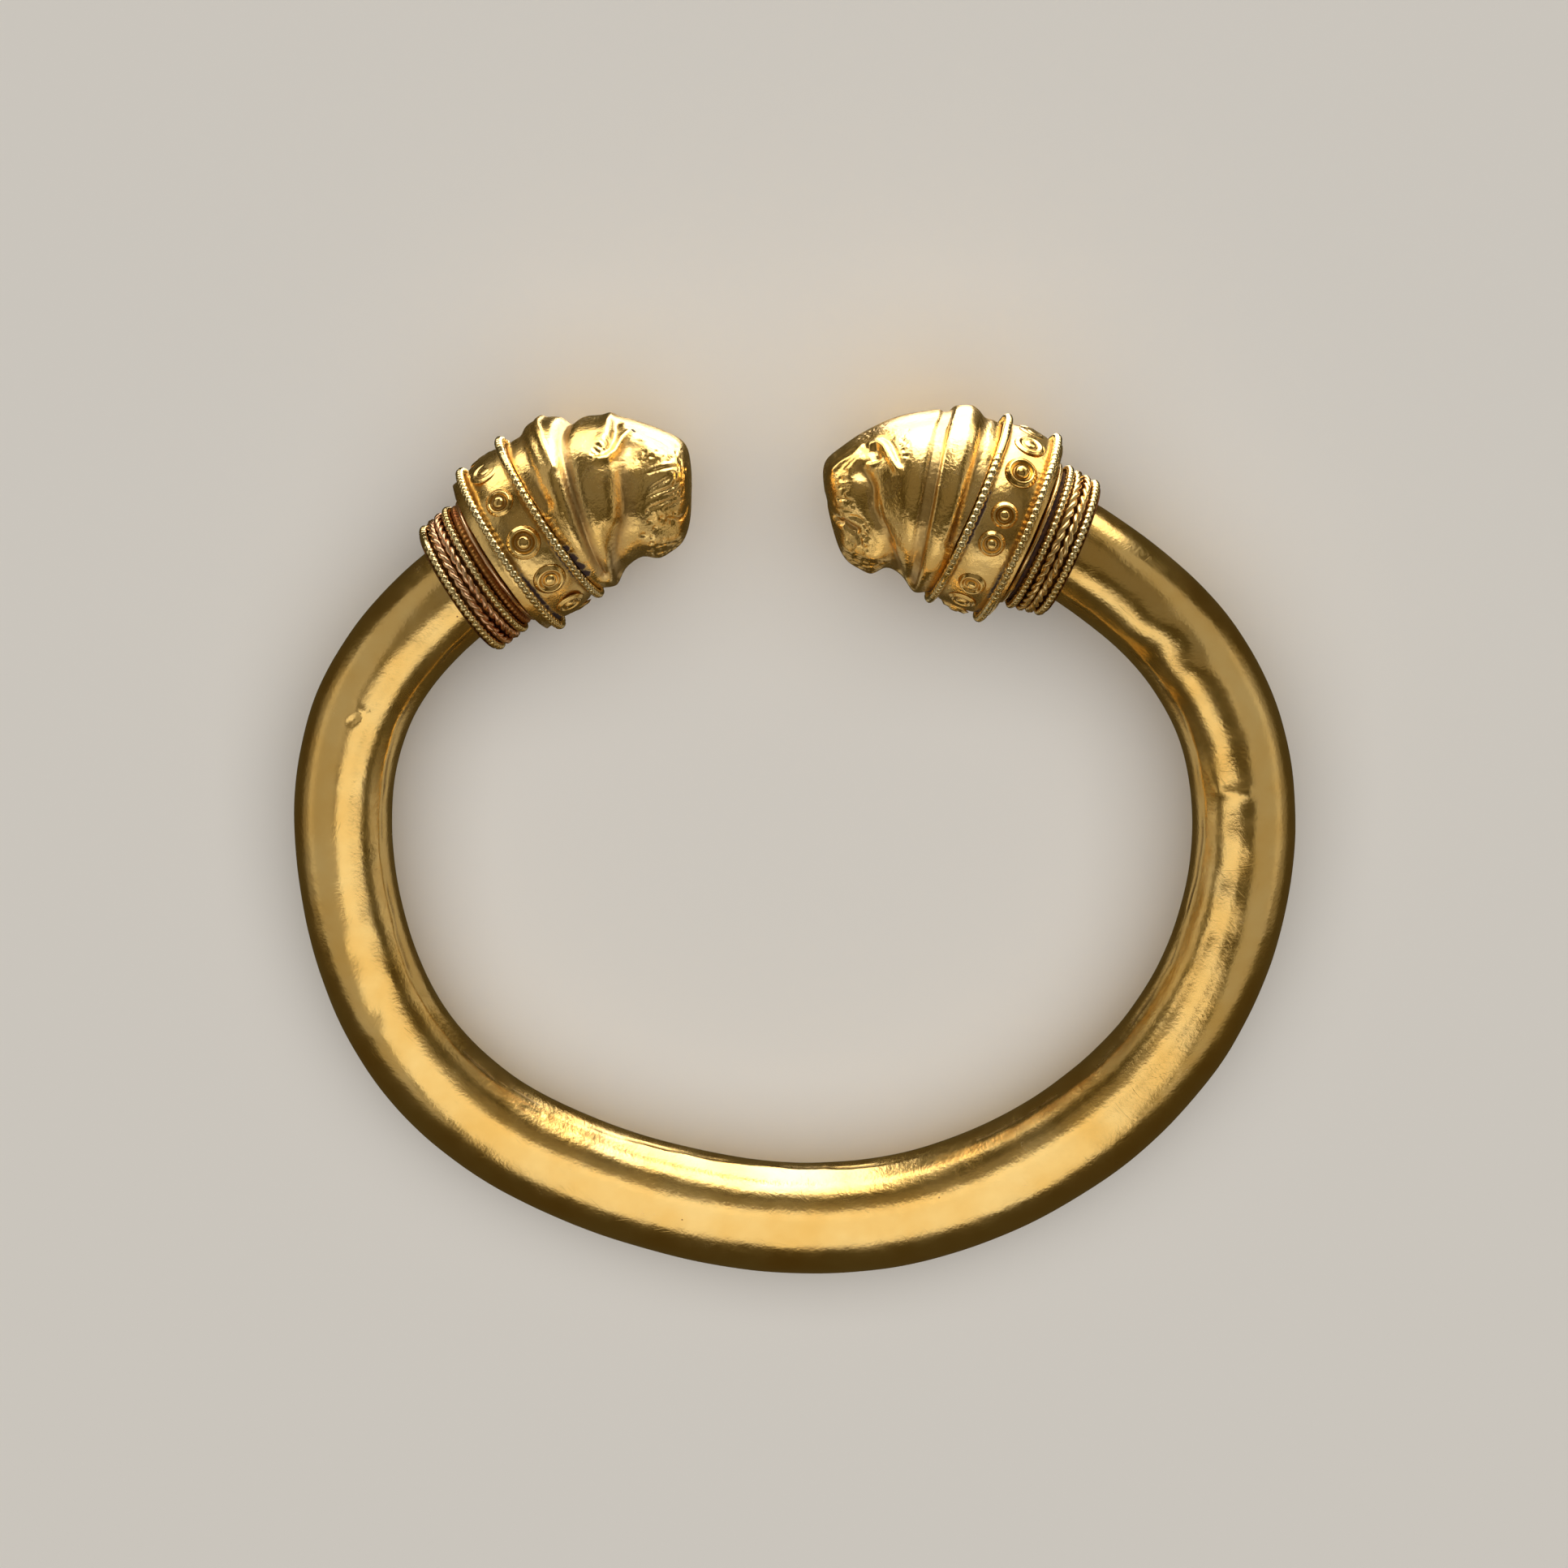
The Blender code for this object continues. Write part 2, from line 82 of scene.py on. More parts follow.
# %% [markdown]
# ## Two ways of measuring the bracelet
#
# A bracelet is drawn most easily in its own plane: X across, Y towards the heads, Z up, and
# every length in millimetres. But its collars are fatter than its hoop, so it lies a little
# tilted. One matrix carries each finished shape from the drawing to the way it lies. The same
# step presses flat whatever would reach through the surface, as wear has done on the gold.

# %% From the drawing to the way the bracelet lies
REST_TILT = 3.5194
REST_ROLL = 0.7225
REST_PLACE = (-0.150, 0.276, 6.176)

rest = Matrix.Translation(Vector(REST_PLACE))
rest = rest @ Matrix.Rotation(math.radians(-REST_ROLL), 4, "Y")
rest = rest @ Matrix.Rotation(math.radians(REST_TILT), 4, "X")


def settle(points):
    """Points of the drawing, in millimetres, as they lie in metres inside the solids' box."""
    turned = np.asarray(points) @ np.array(rest.to_3x3()).T + np.array(rest.translation)
    return np.clip(turned * MM, cad_low, cad_high)


def corners(mesh, what="co"):
    """A mesh's corner points as an array, or with "normal" the unit arrows out at them."""
    flat = np.empty(len(mesh.vertices) * 3)
    mesh.vertices.foreach_get(what, flat)
    return flat.reshape(-1, 3)


def mark(mesh, name, values):
    """Store one number for each corner, for a material to read."""
    layer = mesh.attributes.new(name, "FLOAT", "POINT")
    layer.data.foreach_set("value", np.asarray(values, dtype=np.float32).ravel())


def lay(name, mesh, slot, *nodes):
    """Turn a mesh of the drawing into a finished piece that stands for some solids."""
    mesh.vertices.foreach_set("co", settle(corners(mesh)).ravel())
    mesh.update()
    made = bpy.data.objects.new(name, mesh)
    bpy.context.scene.collection.objects.link(made)
    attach(made, "root")
    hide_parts(*nodes)
    triangles = sum(len(face.vertices) - 2 for face in mesh.polygons)
    print(f"{name}: {triangles} triangles, stands for {len(nodes)} solids")


# %% [markdown]
# ## Camera
#
# The photograph was taken from almost straight above, about ten degrees towards the heads,
# with a long lens. The hoop's plane is the reference, so the camera is placed in the drawing
# first and then carried along by the same matrix as the bracelet.

# %% Camera
CAMERA_LEAN = 10.05
CAMERA_DISTANCE = 233.97
CAMERA_AIM = (-0.70, 5.02, 0.0)
PHOTO_WIDTH = 1932
PHOTO_FOCAL_PIXELS = 3612
SENSOR = 36.0

lean = math.radians(CAMERA_LEAN)
camera = bpy.data.objects.new("camera", bpy.data.cameras.new("camera"))
bpy.context.scene.collection.objects.link(camera)
camera.data.sensor_width = SENSOR
camera.data.lens = SENSOR * PHOTO_FOCAL_PIXELS / PHOTO_WIDTH
camera.data.clip_start = 0.01
camera.data.clip_end = 20.0
back = Vector((0.0, math.sin(lean), math.cos(lean)))
stand = Matrix.Translation(Vector(CAMERA_AIM) + back * CAMERA_DISTANCE) @ Matrix.Rotation(-lean, 4, "X")
# The matrix brings the camera's place to metres, and the camera itself keeps its full scale
camera.matrix_world = Matrix.Scale(MM, 4) @ rest @ stand
camera.scale = (1.0, 1.0, 1.0)
bpy.context.scene.camera = camera
print("camera at", [round(part / MM, 1) for part in camera.location], "mm")

# %% [markdown]
# ## The drawing's lines: hoop and end pieces
#
# The hoop's centre line is an oval with a few slow waves, left by the hand that bent it. An
# end piece has its own small coordinates: how far along it from the sleeve's mouth, how far
# out from its middle, and how far up. All wires, collars and heads are drawn in those.

# %% The hoop's centre line
HOOP_HALF_WIDTH = 36.04
HOOP_HALF_DEPTH = 31.11
TUBE_RADIUS_SIDE = 3.98
TUBE_RADIUS_BACK = 4.50
TUBE_FULLER_RIGHT = 0.11
# Slow bends: waves round the oval, how far out in mm, and the angle of a crest
HOOP_BENDS = ((3, 0.16, 262.0), (4, 0.26, 30.0), (5, 0.38, 78.0), (6, 0.29, 200.0))
SMALL_ANGLE = 0.01


def tube_radius(angle):
    """Radius of the tube at an angle round the oval."""
    towards_back = np.maximum(0.0, -np.sin(angle)) ** 2
    growth = TUBE_RADIUS_BACK - TUBE_RADIUS_SIDE
    return TUBE_RADIUS_SIDE + growth * towards_back + TUBE_FULLER_RIGHT * np.cos(angle)


def hoop_centre(angle):
    """Middle of the tube at an angle round the oval."""
    bend = sum(amount * np.cos(waves * angle - math.radians(crest))
               for waves, amount, crest in HOOP_BENDS)
    across = (HOOP_HALF_WIDTH + bend) * np.cos(angle)
    along = (HOOP_HALF_DEPTH + bend) * np.sin(angle)
    return np.stack((across, along, np.zeros_like(across)), axis=-1)


def hoop_heading(angle, towards):
    """Unit vector along the hoop, for a walk towards growing or falling angles."""
    step = SMALL_ANGLE * towards
    ahead = hoop_centre(angle + step) - hoop_centre(angle - step)
    return ahead / np.linalg.norm(ahead, axis=-1, keepdims=True)


def hoop_skin(walk, turn):
    """Point on the tube: degrees round the oval, degrees from the top towards the outside."""
    angle = np.radians(walk)
    heading = hoop_heading(angle, 1)
    outside = np.stack((heading[..., 1], -heading[..., 0], np.zeros_like(angle)), axis=-1)
    top = np.array((0.0, 0.0, 1.0))
    turn = np.radians(turn)[..., None]
    reach = tube_radius(angle)[..., None]
    return hoop_centre(angle) + (outside * np.sin(turn) + top * np.cos(turn)) * reach


# %% The two end pieces
PIECE_GAP = 0.05
SOCKET_GAP = 0.15
SOCKET_DEPTH = 1.3
SOCKET_FLOOR_GAP = 0.3
BEADED_WIRE = 0.36
PLAIT_WIRE = 0.34
RECESS_WIRE = 0.21
SLEEVE_LIP = 0.10
SLEEVE_WIRE_SPACING = 2.29
COLLAR_LIP = 0.26
COLLAR_BULGE = 0.30


class EndPiece:
    """One end of the bracelet, with coordinates along it, out from its middle and up."""

    def __init__(self, name, towards, angle, turn_in, askew, sleeve_ring, sleeve_flare,
                 collar_ring, collar_start, collar_spacing, head_length, head_bend):
        self.name = name
        self.angle = math.radians(angle)
        self.askew = math.tan(math.radians(askew))
        self.sleeve_ring = sleeve_ring
        self.sleeve_flare = math.tan(math.radians(sleeve_flare))
        self.collar_ring = collar_ring
        self.collar_start = collar_start
        self.back_wire = collar_start + COLLAR_LIP + BEADED_WIRE
        self.front_wire = self.back_wire + collar_spacing
        self.collar_end = self.front_wire + COLLAR_LIP
        self.head_length = head_length
        self.head_bend = math.radians(head_bend)
        self.mouth = hoop_centre(self.angle)
        heading = hoop_heading(self.angle, towards)
        turn = math.atan2(heading[1], heading[0]) + towards * math.radians(turn_in)
        self.axis = np.array((math.cos(turn), math.sin(turn), 0.0))
        self.outward = np.array((-self.axis[1], self.axis[0], 0.0)) * -towards

    def place(self, along, out, up):
        """Points of the drawing from an end piece's own coordinates."""
        out = out + self.askew * np.minimum(along, self.front_wire)
        spot = self.mouth + np.multiply.outer(along, self.axis) + np.multiply.outer(out, self.outward)
        return spot + np.multiply.outer(up, (0.0, 0.0, 1.0))

    def off_axis(self, points):
        """How far along an end piece, and how far from its axis, points of the drawing are."""
        away = points - self.mouth
        along = away @ self.axis
        out = away @ self.outward - self.askew * np.minimum(along, self.front_wire)
        return along, np.hypot(out, away[:, 2])

    def sleeve_reach(self, along):
        """Radius of the flaring sleeve, out to the middle of the wires that are wound on it."""
        return self.sleeve_ring + self.sleeve_flare * along

    def ring(self, along, radius, turns):
        """Points of a circle round the axis; turns are degrees from outward towards up."""
        turns = np.radians(turns)
        along = np.broadcast_to(along, turns.shape)
        return self.place(along, radius * np.cos(turns), radius * np.sin(turns))


# Rings are radii in mm, starts count from the sleeve's mouth, and turns, flares, skews and
# bends are degrees
left = EndPiece("left", -1, angle=138.0, turn_in=5.8, askew=5.8, sleeve_ring=5.40,
                sleeve_flare=1.5, collar_ring=7.12, collar_start=4.76, collar_spacing=3.92,
                head_length=10.3, head_bend=32.0)
right = EndPiece("right", 1, angle=51.5, turn_in=9.0, askew=-1.5, sleeve_ring=5.36,
                 sleeve_flare=8.0, collar_ring=7.68, collar_start=4.04, collar_spacing=4.14,
                 head_length=10.0, head_bend=33.5)
ends = (left, right)
for end in ends:
    print(end.name, "end: collar from", end.collar_start, "to", round(end.collar_end, 2), "mm")

# %% [markdown]
# ## Node helpers
#
# Wires, beads and bosses repeat one small form along a path, and the hoop is one round
# section swept along an oval. Geometry Nodes do such work from a few named inputs. One helper
# adds a node with its settings and links, one starts a tree, and one closes it: join, make
# the instances real, shade smooth and give the material.

# %% Build and run node trees


def add(tree, kind, inputs=None, **settings):
    """Add a node; each input is a plain value or a socket to link from."""
    node = tree.nodes.new(kind)
    for setting, value in settings.items():
        setattr(node, setting, value)
    for key, value in (inputs or {}).items():
        if isinstance(value, bpy.types.NodeSocket):
            tree.links.new(value, node.inputs[key])
        else:
            node.inputs[key].default_value = value
    return node


def start_tree(name, **sockets):
    """A geometry tree with named inputs, given as name and kind; returns it and its inputs."""
    tree = bpy.data.node_groups.new(name, "GeometryNodeTree")
    for label, kind in {"Geometry": "Geometry", **sockets, "Material": "Material"}.items():
        tree.interface.new_socket(label.replace("_", " "), in_out="INPUT",
                                  socket_type="NodeSocket" + kind)
    tree.interface.new_socket("Geometry", in_out="OUTPUT", socket_type="NodeSocketGeometry")
    return tree, tree.nodes.new("NodeGroupInput").outputs


def end_tree(tree, given, shapes):
    """Join the shapes, make them real, smooth them and give them the material."""
    join = add(tree, "GeometryNodeJoinGeometry")
    for shape in shapes:
        tree.links.new(shape, join.inputs[0])
    real = add(tree, "GeometryNodeRealizeInstances", {0: join.outputs[0]})
    smooth = add(tree, "GeometryNodeSetShadeSmooth", {"Geometry": real.outputs[0]})
    finish = add(tree, "GeometryNodeSetMaterial",
                 {"Geometry": smooth.outputs[0], "Material": given["Material"]})
    add(tree, "NodeGroupOutput", {0: finish.outputs[0]})
    print("tree", tree.name + ":", len(tree.nodes), "nodes")


def grow(base, tree, **values):
    """Run a tree on a base mesh with the given inputs and keep the result as a plain mesh."""
    carrier = bpy.data.objects.new("carrier", base)
    bpy.context.scene.collection.objects.link(carrier)
    modifier = carrier.modifiers.new("tree", "NODES")
    modifier.node_group = tree
    for item in tree.interface.items_tree:
        if item.in_out == "INPUT" and item.name.replace(" ", "_") in values:
            modifier[item.identifier] = values[item.name.replace(" ", "_")]
    grown = carrier.evaluated_get(bpy.context.evaluated_depsgraph_get())
    mesh = bpy.data.meshes.new_from_object(grown)
    bpy.data.objects.remove(carrier)
    return mesh


def path_mesh(points, closed, **marks):
    """A line of edges through points, with numbers for a tree to read."""
    count = len(points)
    edges = [(spot, spot + 1) for spot in range(count - 1)]
    if closed:
        edges.append((count - 1, 0))
    mesh = bpy.data.meshes.new("path")
    mesh.from_pydata(points.tolist(), edges, [])
    for name, values in marks.items():
        mark(mesh, name, np.broadcast_to(values, count))
    return mesh


# %% [markdown]
# ## Gold
#
# All of it is high-carat gold, told apart by how each surface was worked. The hoop is
# burnished sheet with fine scratches, the heads are chased sheet, the wires are drawn and
# rolled into beads. Red-brown deposits sit in the hollows and dark soil in a few spots, and the
# same colours are also painted as shade beside and under the wires and in the sleeves.
# Gold has no colour of its own but its reflection, so it is fully metallic, keeps the default
# index of refraction, and varies only in tint, roughness and bump. Soil is not metal at all.

# %% Colours


def hex_colour(text):
    """Linear colour from an sRGB hex value."""
    parts = [int(text[place:place + 2], 16) / 255 for place in (1, 3, 5)]
    return [part / 12.92 if part <= 0.04045 else ((part + 0.055) / 1.055) ** 2.4
            for part in parts] + [1.0]


BRIGHT_GOLD = "#F8D48B"
DEEP_GOLD = "#F1C470"
RED_BROWN = "#6B3A20"
DARK_SOIL = "#382724"
print("bright gold in linear light:", [round(part, 3) for part in hex_colour(BRIGHT_GOLD)[:3]])


# %% Sizes of the patterns
PER_MM = 1 / MM
# Sizes of the patterns in mm. Real scratches, burnishing marks and specks are a few hundredths
# of a millimetre across, too fine to show from here, so these are as coarse as they need to be.
PATCH_SIZE = 5.0
CRUMB_SIZE = 0.35
SPECK_SPACING = 0.9
HAZE_SIZE = 2.2
GRAIN_SIZE = 0.25
SCRATCH_SIZE = (2.6, 0.13, 2.0)
SCRATCH_TILT = (0.4, 0.3)
# Scratches lie in patches: which way they run in degrees, and the size of their patches
SCRATCH_WAYS = ((20, 3.1), (75, 4.3), (140, 3.7), (-40, 2.7))


def noise_field(tree, place, size_mm, detail=3.0, roughness=0.5):
    """Smooth noise with features of a given size in millimetres."""
    return add(tree, "ShaderNodeTexNoise", {"Vector": place, "Scale": PER_MM / size_mm,
                                            "Detail": detail, "Roughness": roughness}).outputs["Fac"]


# %% [markdown]
# ## What settles on gold
#
# Gold hardly tarnishes, but lying in the ground leaves a red-brown film in its hollows, small
# specks of it on the flat, and dark soil in a few spots. The film colour is also painted as
# shade beside the wires, under them and over the sleeves' recess, and the soil colour as shade
# in the gap before each collar. The meshes below remember where they are hollow or painted
# shaded, and some of them where soil or that shade lies, so the material only reads those two
# attributes. Crumbly noise breaks the edges up, because no deposit ends in a smooth line.

# %% Film, specks and soil, with painted shade in the film and soil colours


def specks_of_film(tree, place, share):
    """Small round spots, in a share of the cells of an even scatter."""
    cells = add(tree, "ShaderNodeTexVoronoi", {"Vector": place, "Scale": PER_MM / SPECK_SPACING})
    chosen = add(tree, "ShaderNodeMath", {0: cells.outputs["Color"], 1: 1.0 - share},
                 operation="GREATER_THAN")
    speck = add(tree, "ShaderNodeMapRange", {0: cells.outputs["Distance"], 1: 0.05, 2: 0.11,
                                             3: 0.8, 4: 0.0})
    return add(tree, "ShaderNodeMath", {0: speck.outputs[0], 1: chosen.outputs[0]},
               operation="MULTIPLY").outputs[0]


def deposits_and_shade(tree, place, film_and_shade_share, specks):
    """How much film and painted shade, and how much soil and painted shade, lie at each place, both from 0
    to 1.
    """
    crumbs = noise_field(tree, place, CRUMB_SIZE, 5.0, 0.7)
    ragged = add(tree, "ShaderNodeMath", {0: crumbs, 1: 0.9, 2: -0.45}, operation="MULTIPLY_ADD")
    # The hollow attribute holds film in real hollows and painted shade beside, under and between the wires
    hollow = add(tree, "ShaderNodeAttribute", attribute_name="hollow").outputs["Fac"]
    depth = add(tree, "ShaderNodeMath", {0: hollow, 1: ragged.outputs[0]}, operation="ADD")
    film_and_shade = add(tree, "ShaderNodeMapRange", {0: depth.outputs[0], 1: 0.25, 2: 0.95,
                                              4: film_and_shade_share}).outputs[0]
    if specks:
        dots = specks_of_film(tree, place, specks)
        film_and_shade = add(tree, "ShaderNodeMath", {0: film_and_shade, 1: dots}, operation="MAXIMUM").outputs[0]
    # The soil attribute holds dark soil, and on the sleeves painted shade in the gap before the collar
    soil = add(tree, "ShaderNodeAttribute", attribute_name="soil").outputs["Fac"]
    clod = add(tree, "ShaderNodeMath", {0: soil, 1: ragged.outputs[0]}, operation="ADD")
    soil_and_shade_cover = add(tree, "ShaderNodeMapRange", {0: clod.outputs[0], 1: 0.35, 2: 0.6}).outputs[0]
    return film_and_shade, soil_and_shade_cover


# %% [markdown]
# ## What the maker's tools and the wearer leave
#
# Relief that is too fine for a mesh is drawn as bump: the burnisher's grain, slow lumps from
# the hammer, and scratches. A scratch is noise stretched long and thin, kept only where it
# peaks. Scratches that run the same way lie in patches, so there are a few such fields, each
# with a way and a patch size of its own. Bumps are stacked, each one on the one before it.

# %% Scratches and stacked bumps


def scratch_fields(tree, place):
    """A height field of thin scratches for each way that they run; -1 is a full cut."""
    fields = []
    for slant, patch_mm in SCRATCH_WAYS:
        patchy = add(tree, "ShaderNodeMapRange", {0: noise_field(tree, place, patch_mm, 2.0),
                                                  1: 0.50, 2: 0.64, 3: 0.0, 4: -1.0})
        drawn = add(tree, "ShaderNodeMapping", {
            "Vector": place, "Rotation": (*SCRATCH_TILT, math.radians(slant)),
            "Scale": [size * MM for size in SCRATCH_SIZE]}, vector_type="TEXTURE")
        lines = add(tree, "ShaderNodeTexNoise", {"Vector": drawn.outputs[0], "Scale": 1.0,
                                                 "Detail": 1.0, "Distortion": 0.4})
        thin = add(tree, "ShaderNodeMapRange", {0: lines.outputs["Fac"], 1: 0.68, 2: 0.79})
        cut = add(tree, "ShaderNodeMath", {0: thin.outputs[0], 1: patchy.outputs[0]},
                  operation="MULTIPLY")
        fields.append(cut.outputs[0])
    return fields


def stacked_bumps(tree, heights):
    """The surface's arrows after a bump for each pair of a height field and a depth in mm."""
    arrows = None
    for height, depth_mm in heights:
        bump = add(tree, "ShaderNodeBump", {"Height": height, "Strength": 1.0,
                                            "Distance": depth_mm * MM})
        if arrows:
            tree.links.new(arrows, bump.inputs["Normal"])
        arrows = bump.outputs[0]
    return arrows


# %% [markdown]
# ## One recipe for all the gold
#
# The eight finishes differ in tint, polish, film and relief, but not in kind, so one function
# makes them all. The tint wanders between two golds, film and soil cover it, with painted shade
# in their colours beside and under the wires and in the sleeves, and under soil and the shade
# painted in its colour the surface stops being metal. Polish wanders too, because handling is never even.

# %% A worked gold surface


def worked_gold(name, roughness, tint=BRIGHT_GOLD, shade=DEEP_GOLD, film_and_shade_tint=RED_BROWN, film_and_shade_share=0.8,
                grain=0.010, lumps=0.0, lump_mm=0.6, scratches=0.0, specks=0.0):
    """Gold whose tint wanders, with deposits and painted shade in its hollows; relief depths are in mm."""
    material = bpy.data.materials.new(name)
    material.use_nodes = True
    tree = material.node_tree
    shader = tree.nodes["Principled BSDF"]
    place = add(tree, "ShaderNodeTexCoord").outputs["Object"]
    film_and_shade, soil_and_shade_cover = deposits_and_shade(tree, place, film_and_shade_share, specks)

    patches = add(tree, "ShaderNodeMapRange",
                  {0: noise_field(tree, place, PATCH_SIZE, 4.0), 1: 0.35, 2: 0.68})
    metal = add(tree, "ShaderNodeMix", {0: patches.outputs[0], 6: hex_colour(tint),
                                        7: hex_colour(shade)}, data_type="RGBA")
    stained = add(tree, "ShaderNodeMix", {0: film_and_shade, 6: metal.outputs[2], 7: hex_colour(film_and_shade_tint)},
                  data_type="RGBA")
    surface = add(tree, "ShaderNodeMix", {0: soil_and_shade_cover, 6: stained.outputs[2],
                                          7: hex_colour(DARK_SOIL)}, data_type="RGBA")
    tree.links.new(surface.outputs[2], shader.inputs["Base Color"])
    bare = add(tree, "ShaderNodeMath", {0: 1.0, 1: soil_and_shade_cover}, operation="SUBTRACT")
    tree.links.new(bare.outputs[0], shader.inputs["Metallic"])

    haze = noise_field(tree, place, HAZE_SIZE, 6.0, 0.65)
    polish = add(tree, "ShaderNodeMapRange", {0: haze, 1: 0.3, 2: 0.75, 3: roughness - 0.05,
                                              4: roughness + 0.08})
    dulled = add(tree, "ShaderNodeMath", {0: film_and_shade, 1: 0.25, 2: polish.outputs[0]},
                 operation="MULTIPLY_ADD")
    crusted = add(tree, "ShaderNodeMath", {0: soil_and_shade_cover, 1: 0.45, 2: dulled.outputs[0]},
                  operation="MULTIPLY_ADD")
    tree.links.new(crusted.outputs[0], shader.inputs["Roughness"])

    heights = [(noise_field(tree, place, GRAIN_SIZE, 3.0), grain)]
    if lumps:
        heights.append((noise_field(tree, place, lump_mm, 4.0), lumps))
    if scratches:
        heights += [(field, scratches) for field in scratch_fields(tree, place)]
    tree.links.new(stacked_bumps(tree, heights), shader.inputs["Normal"])
    return material


# %% The eight finishes of gold
# Burnished sheet: rubbed with a smooth stone, so light runs along it in clear, slightly satin bands
burnished_hoop = worked_gold("burnished_sheet_gold", 0.21, film_and_shade_share=0.55, grain=0.013, lumps=0.042,
                             lump_mm=1.8, scratches=0.005, specks=0.08)
# Chased sheet: punched and pushed by hand, so light breaks up on it in small soft patches
chased_heads = worked_gold("chased_sheet_gold", 0.24, film_and_shade_tint="#A98560", film_and_shade_share=0.55, grain=0.022,
                           lumps=0.060, lump_mm=1.0, specks=0.03)
# Collar sheet: bulged over a core and hard to rub between its wires, so it is duller; its film colour is
# painted shade beside the wires
collar_sheet = worked_gold("collar_sheet_gold", 0.25, film_and_shade_tint="#86683F", film_and_shade_share=0.65, grain=0.018,
                           lumps=0.055, lump_mm=0.8)
# Beaded wire: stands proud and is rubbed bright and pale, with a small spark on every bead
beaded_wire_gold = worked_gold("beaded_gold_wire", 0.20, tint="#F8E3AE", shade="#EFCF8C",
                               film_and_shade_tint="#5A3A1B", film_and_shade_share=0.85, lumps=0.008, lump_mm=0.3)
# Twisted wire: drawn wire with a reddish film between its strands, stronger on the left
left_twisted_gold = worked_gold("twisted_wire_reddish_gold", 0.26, tint="#F9D2A8", shade="#EDB488",
                                film_and_shade_tint="#6E2A20", film_and_shade_share=0.95)
right_twisted_gold = worked_gold("twisted_wire_gold", 0.26, tint="#FADC9E", shade="#F0C47E",
                                 film_and_shade_tint="#6E3C1C", film_and_shade_share=0.9)
# Ring bosses: bent wire and melted granules, smooth and bright
boss_gold = worked_gold("ring_boss_gold", 0.20, film_and_shade_tint="#7E4F26", film_and_shade_share=0.6, lumps=0.010,
                        lump_mm=0.4)
# Sleeve sheet: shows only between its wires, dull and brown with old deposits and painted shade of the
# recess
sleeve_gold = worked_gold("stained_sleeve_gold", 0.36, tint="#D39A55", shade="#A8683C",
                          film_and_shade_tint="#35180F", film_and_shade_share=0.95)
print("gold surfaces:", len(bpy.data.materials))

# %% [markdown]
# ## Carving on a skin
#
# Grooves, ridges, pits and dents are all the same thing to a skin: a stroke drawn on it, with
# a width, and a depth that fades to both sides. Strokes are given in the skin's own
# coordinates, so they stay on it whatever its shape. The deepest places are remembered in an
# attribute, and the material puts the deposits there.

# %% Carve strokes into a skin
# Points between two spots of a stroke, and how many widths from its line it still counts
STROKE_STEPS = 30
STROKE_REACH = 2.2


def stroke_line(skin, spots):
    """Finely spaced points of a stroke drawn on a skin, and how far along it each one is."""
    spots = np.array(spots, float)
    if len(spots) == 1:
        return skin(spots[:, 0], spots[:, 1]), np.zeros(1)
    shares = np.linspace(0, len(spots) - 1, STROKE_STEPS * (len(spots) - 1) + 1)
    first = np.interp(shares, range(len(spots)), spots[:, 0])
    second = np.interp(shares, range(len(spots)), spots[:, 1])
    return skin(first, second), shares / shares[-1]


def carve(points, normals, skin, strokes):
    """Push points in or out along strokes; returns the moved points and a measure of depth."""
    moved = np.zeros(len(points))
    hollow = np.zeros(len(points))
    for rise, width, spots, *manner in strokes:
        line, share = stroke_line(skin, spots)
        low = line.min(axis=0) - STROKE_REACH * width
        high = line.max(axis=0) + STROKE_REACH * width
        near = np.flatnonzero(np.all((points > low) & (points < high), axis=1))
        if not len(near):
            continue
        away = np.linalg.norm(points[near][:, None] - line[None], axis=2)
        closest = away.argmin(axis=1)
        gone = away[np.arange(len(near)), closest] / width
        if manner == ["flat"]:
            amount = rise / (1 + gone ** 6)
        else:
            amount = rise * np.exp(-gone * gone)
        if manner == ["tapered"]:
            amount *= np.sqrt(np.sin(np.pi * np.clip(share[closest], 0.02, 0.98)))
        moved[near] += amount
        hollow[near] += np.maximum(0, -amount)
    return points + normals * moved[:, None], hollow


def uneven(points, normals, amount, size):
    """Slow unevenness left by the hammer: an amount, and the size of its waves."""
    waves = np.array([noise.noise(Vector(point) / size) for point in points])
    return points + normals * (waves * amount)[:, None]


# %% [markdown]
# ## Hoop
#
# The hoop was a strip of sheet gold, rolled into a tube over a core and bent to an oval, with
# the seam turned to the inside. Here a round section is swept along the drawn oval by a small
# tree. Its section grows where the tube is fatter, and slow noise leaves it uneven, as
# a hand-made tube is. Dents, a nick and the seam are then carved at their places.

# %% The tree that sweeps a round section along a path
sweep_tree, given = start_tree("swept_section", Sides="Int", Unevenness="Float", Wave_Size="Float")
line = add(sweep_tree, "GeometryNodeMeshToCurve", {0: given["Geometry"]})
reach = add(sweep_tree, "GeometryNodeInputNamedAttribute", {"Name": "reach"}, data_type="FLOAT")
section = add(sweep_tree, "GeometryNodeCurvePrimitiveCircle",
              {"Resolution": given["Sides"], "Radius": 1.0})
tube = add(sweep_tree, "GeometryNodeCurveToMesh",
           {"Curve": line.outputs[0], "Profile Curve": section.outputs[0],
            "Scale": reach.outputs[0], "Fill Caps": True})
spot = add(sweep_tree, "GeometryNodeInputPosition")
per_wave = add(sweep_tree, "ShaderNodeMath", {0: 1.0, 1: given["Wave Size"]}, operation="DIVIDE")
waves = add(sweep_tree, "ShaderNodeTexNoise",
            {"Vector": spot.outputs[0], "Scale": per_wave.outputs[0], "Detail": 1.0})
swell = add(sweep_tree, "ShaderNodeMath", {0: waves.outputs["Fac"], 1: 0.5}, operation="SUBTRACT")
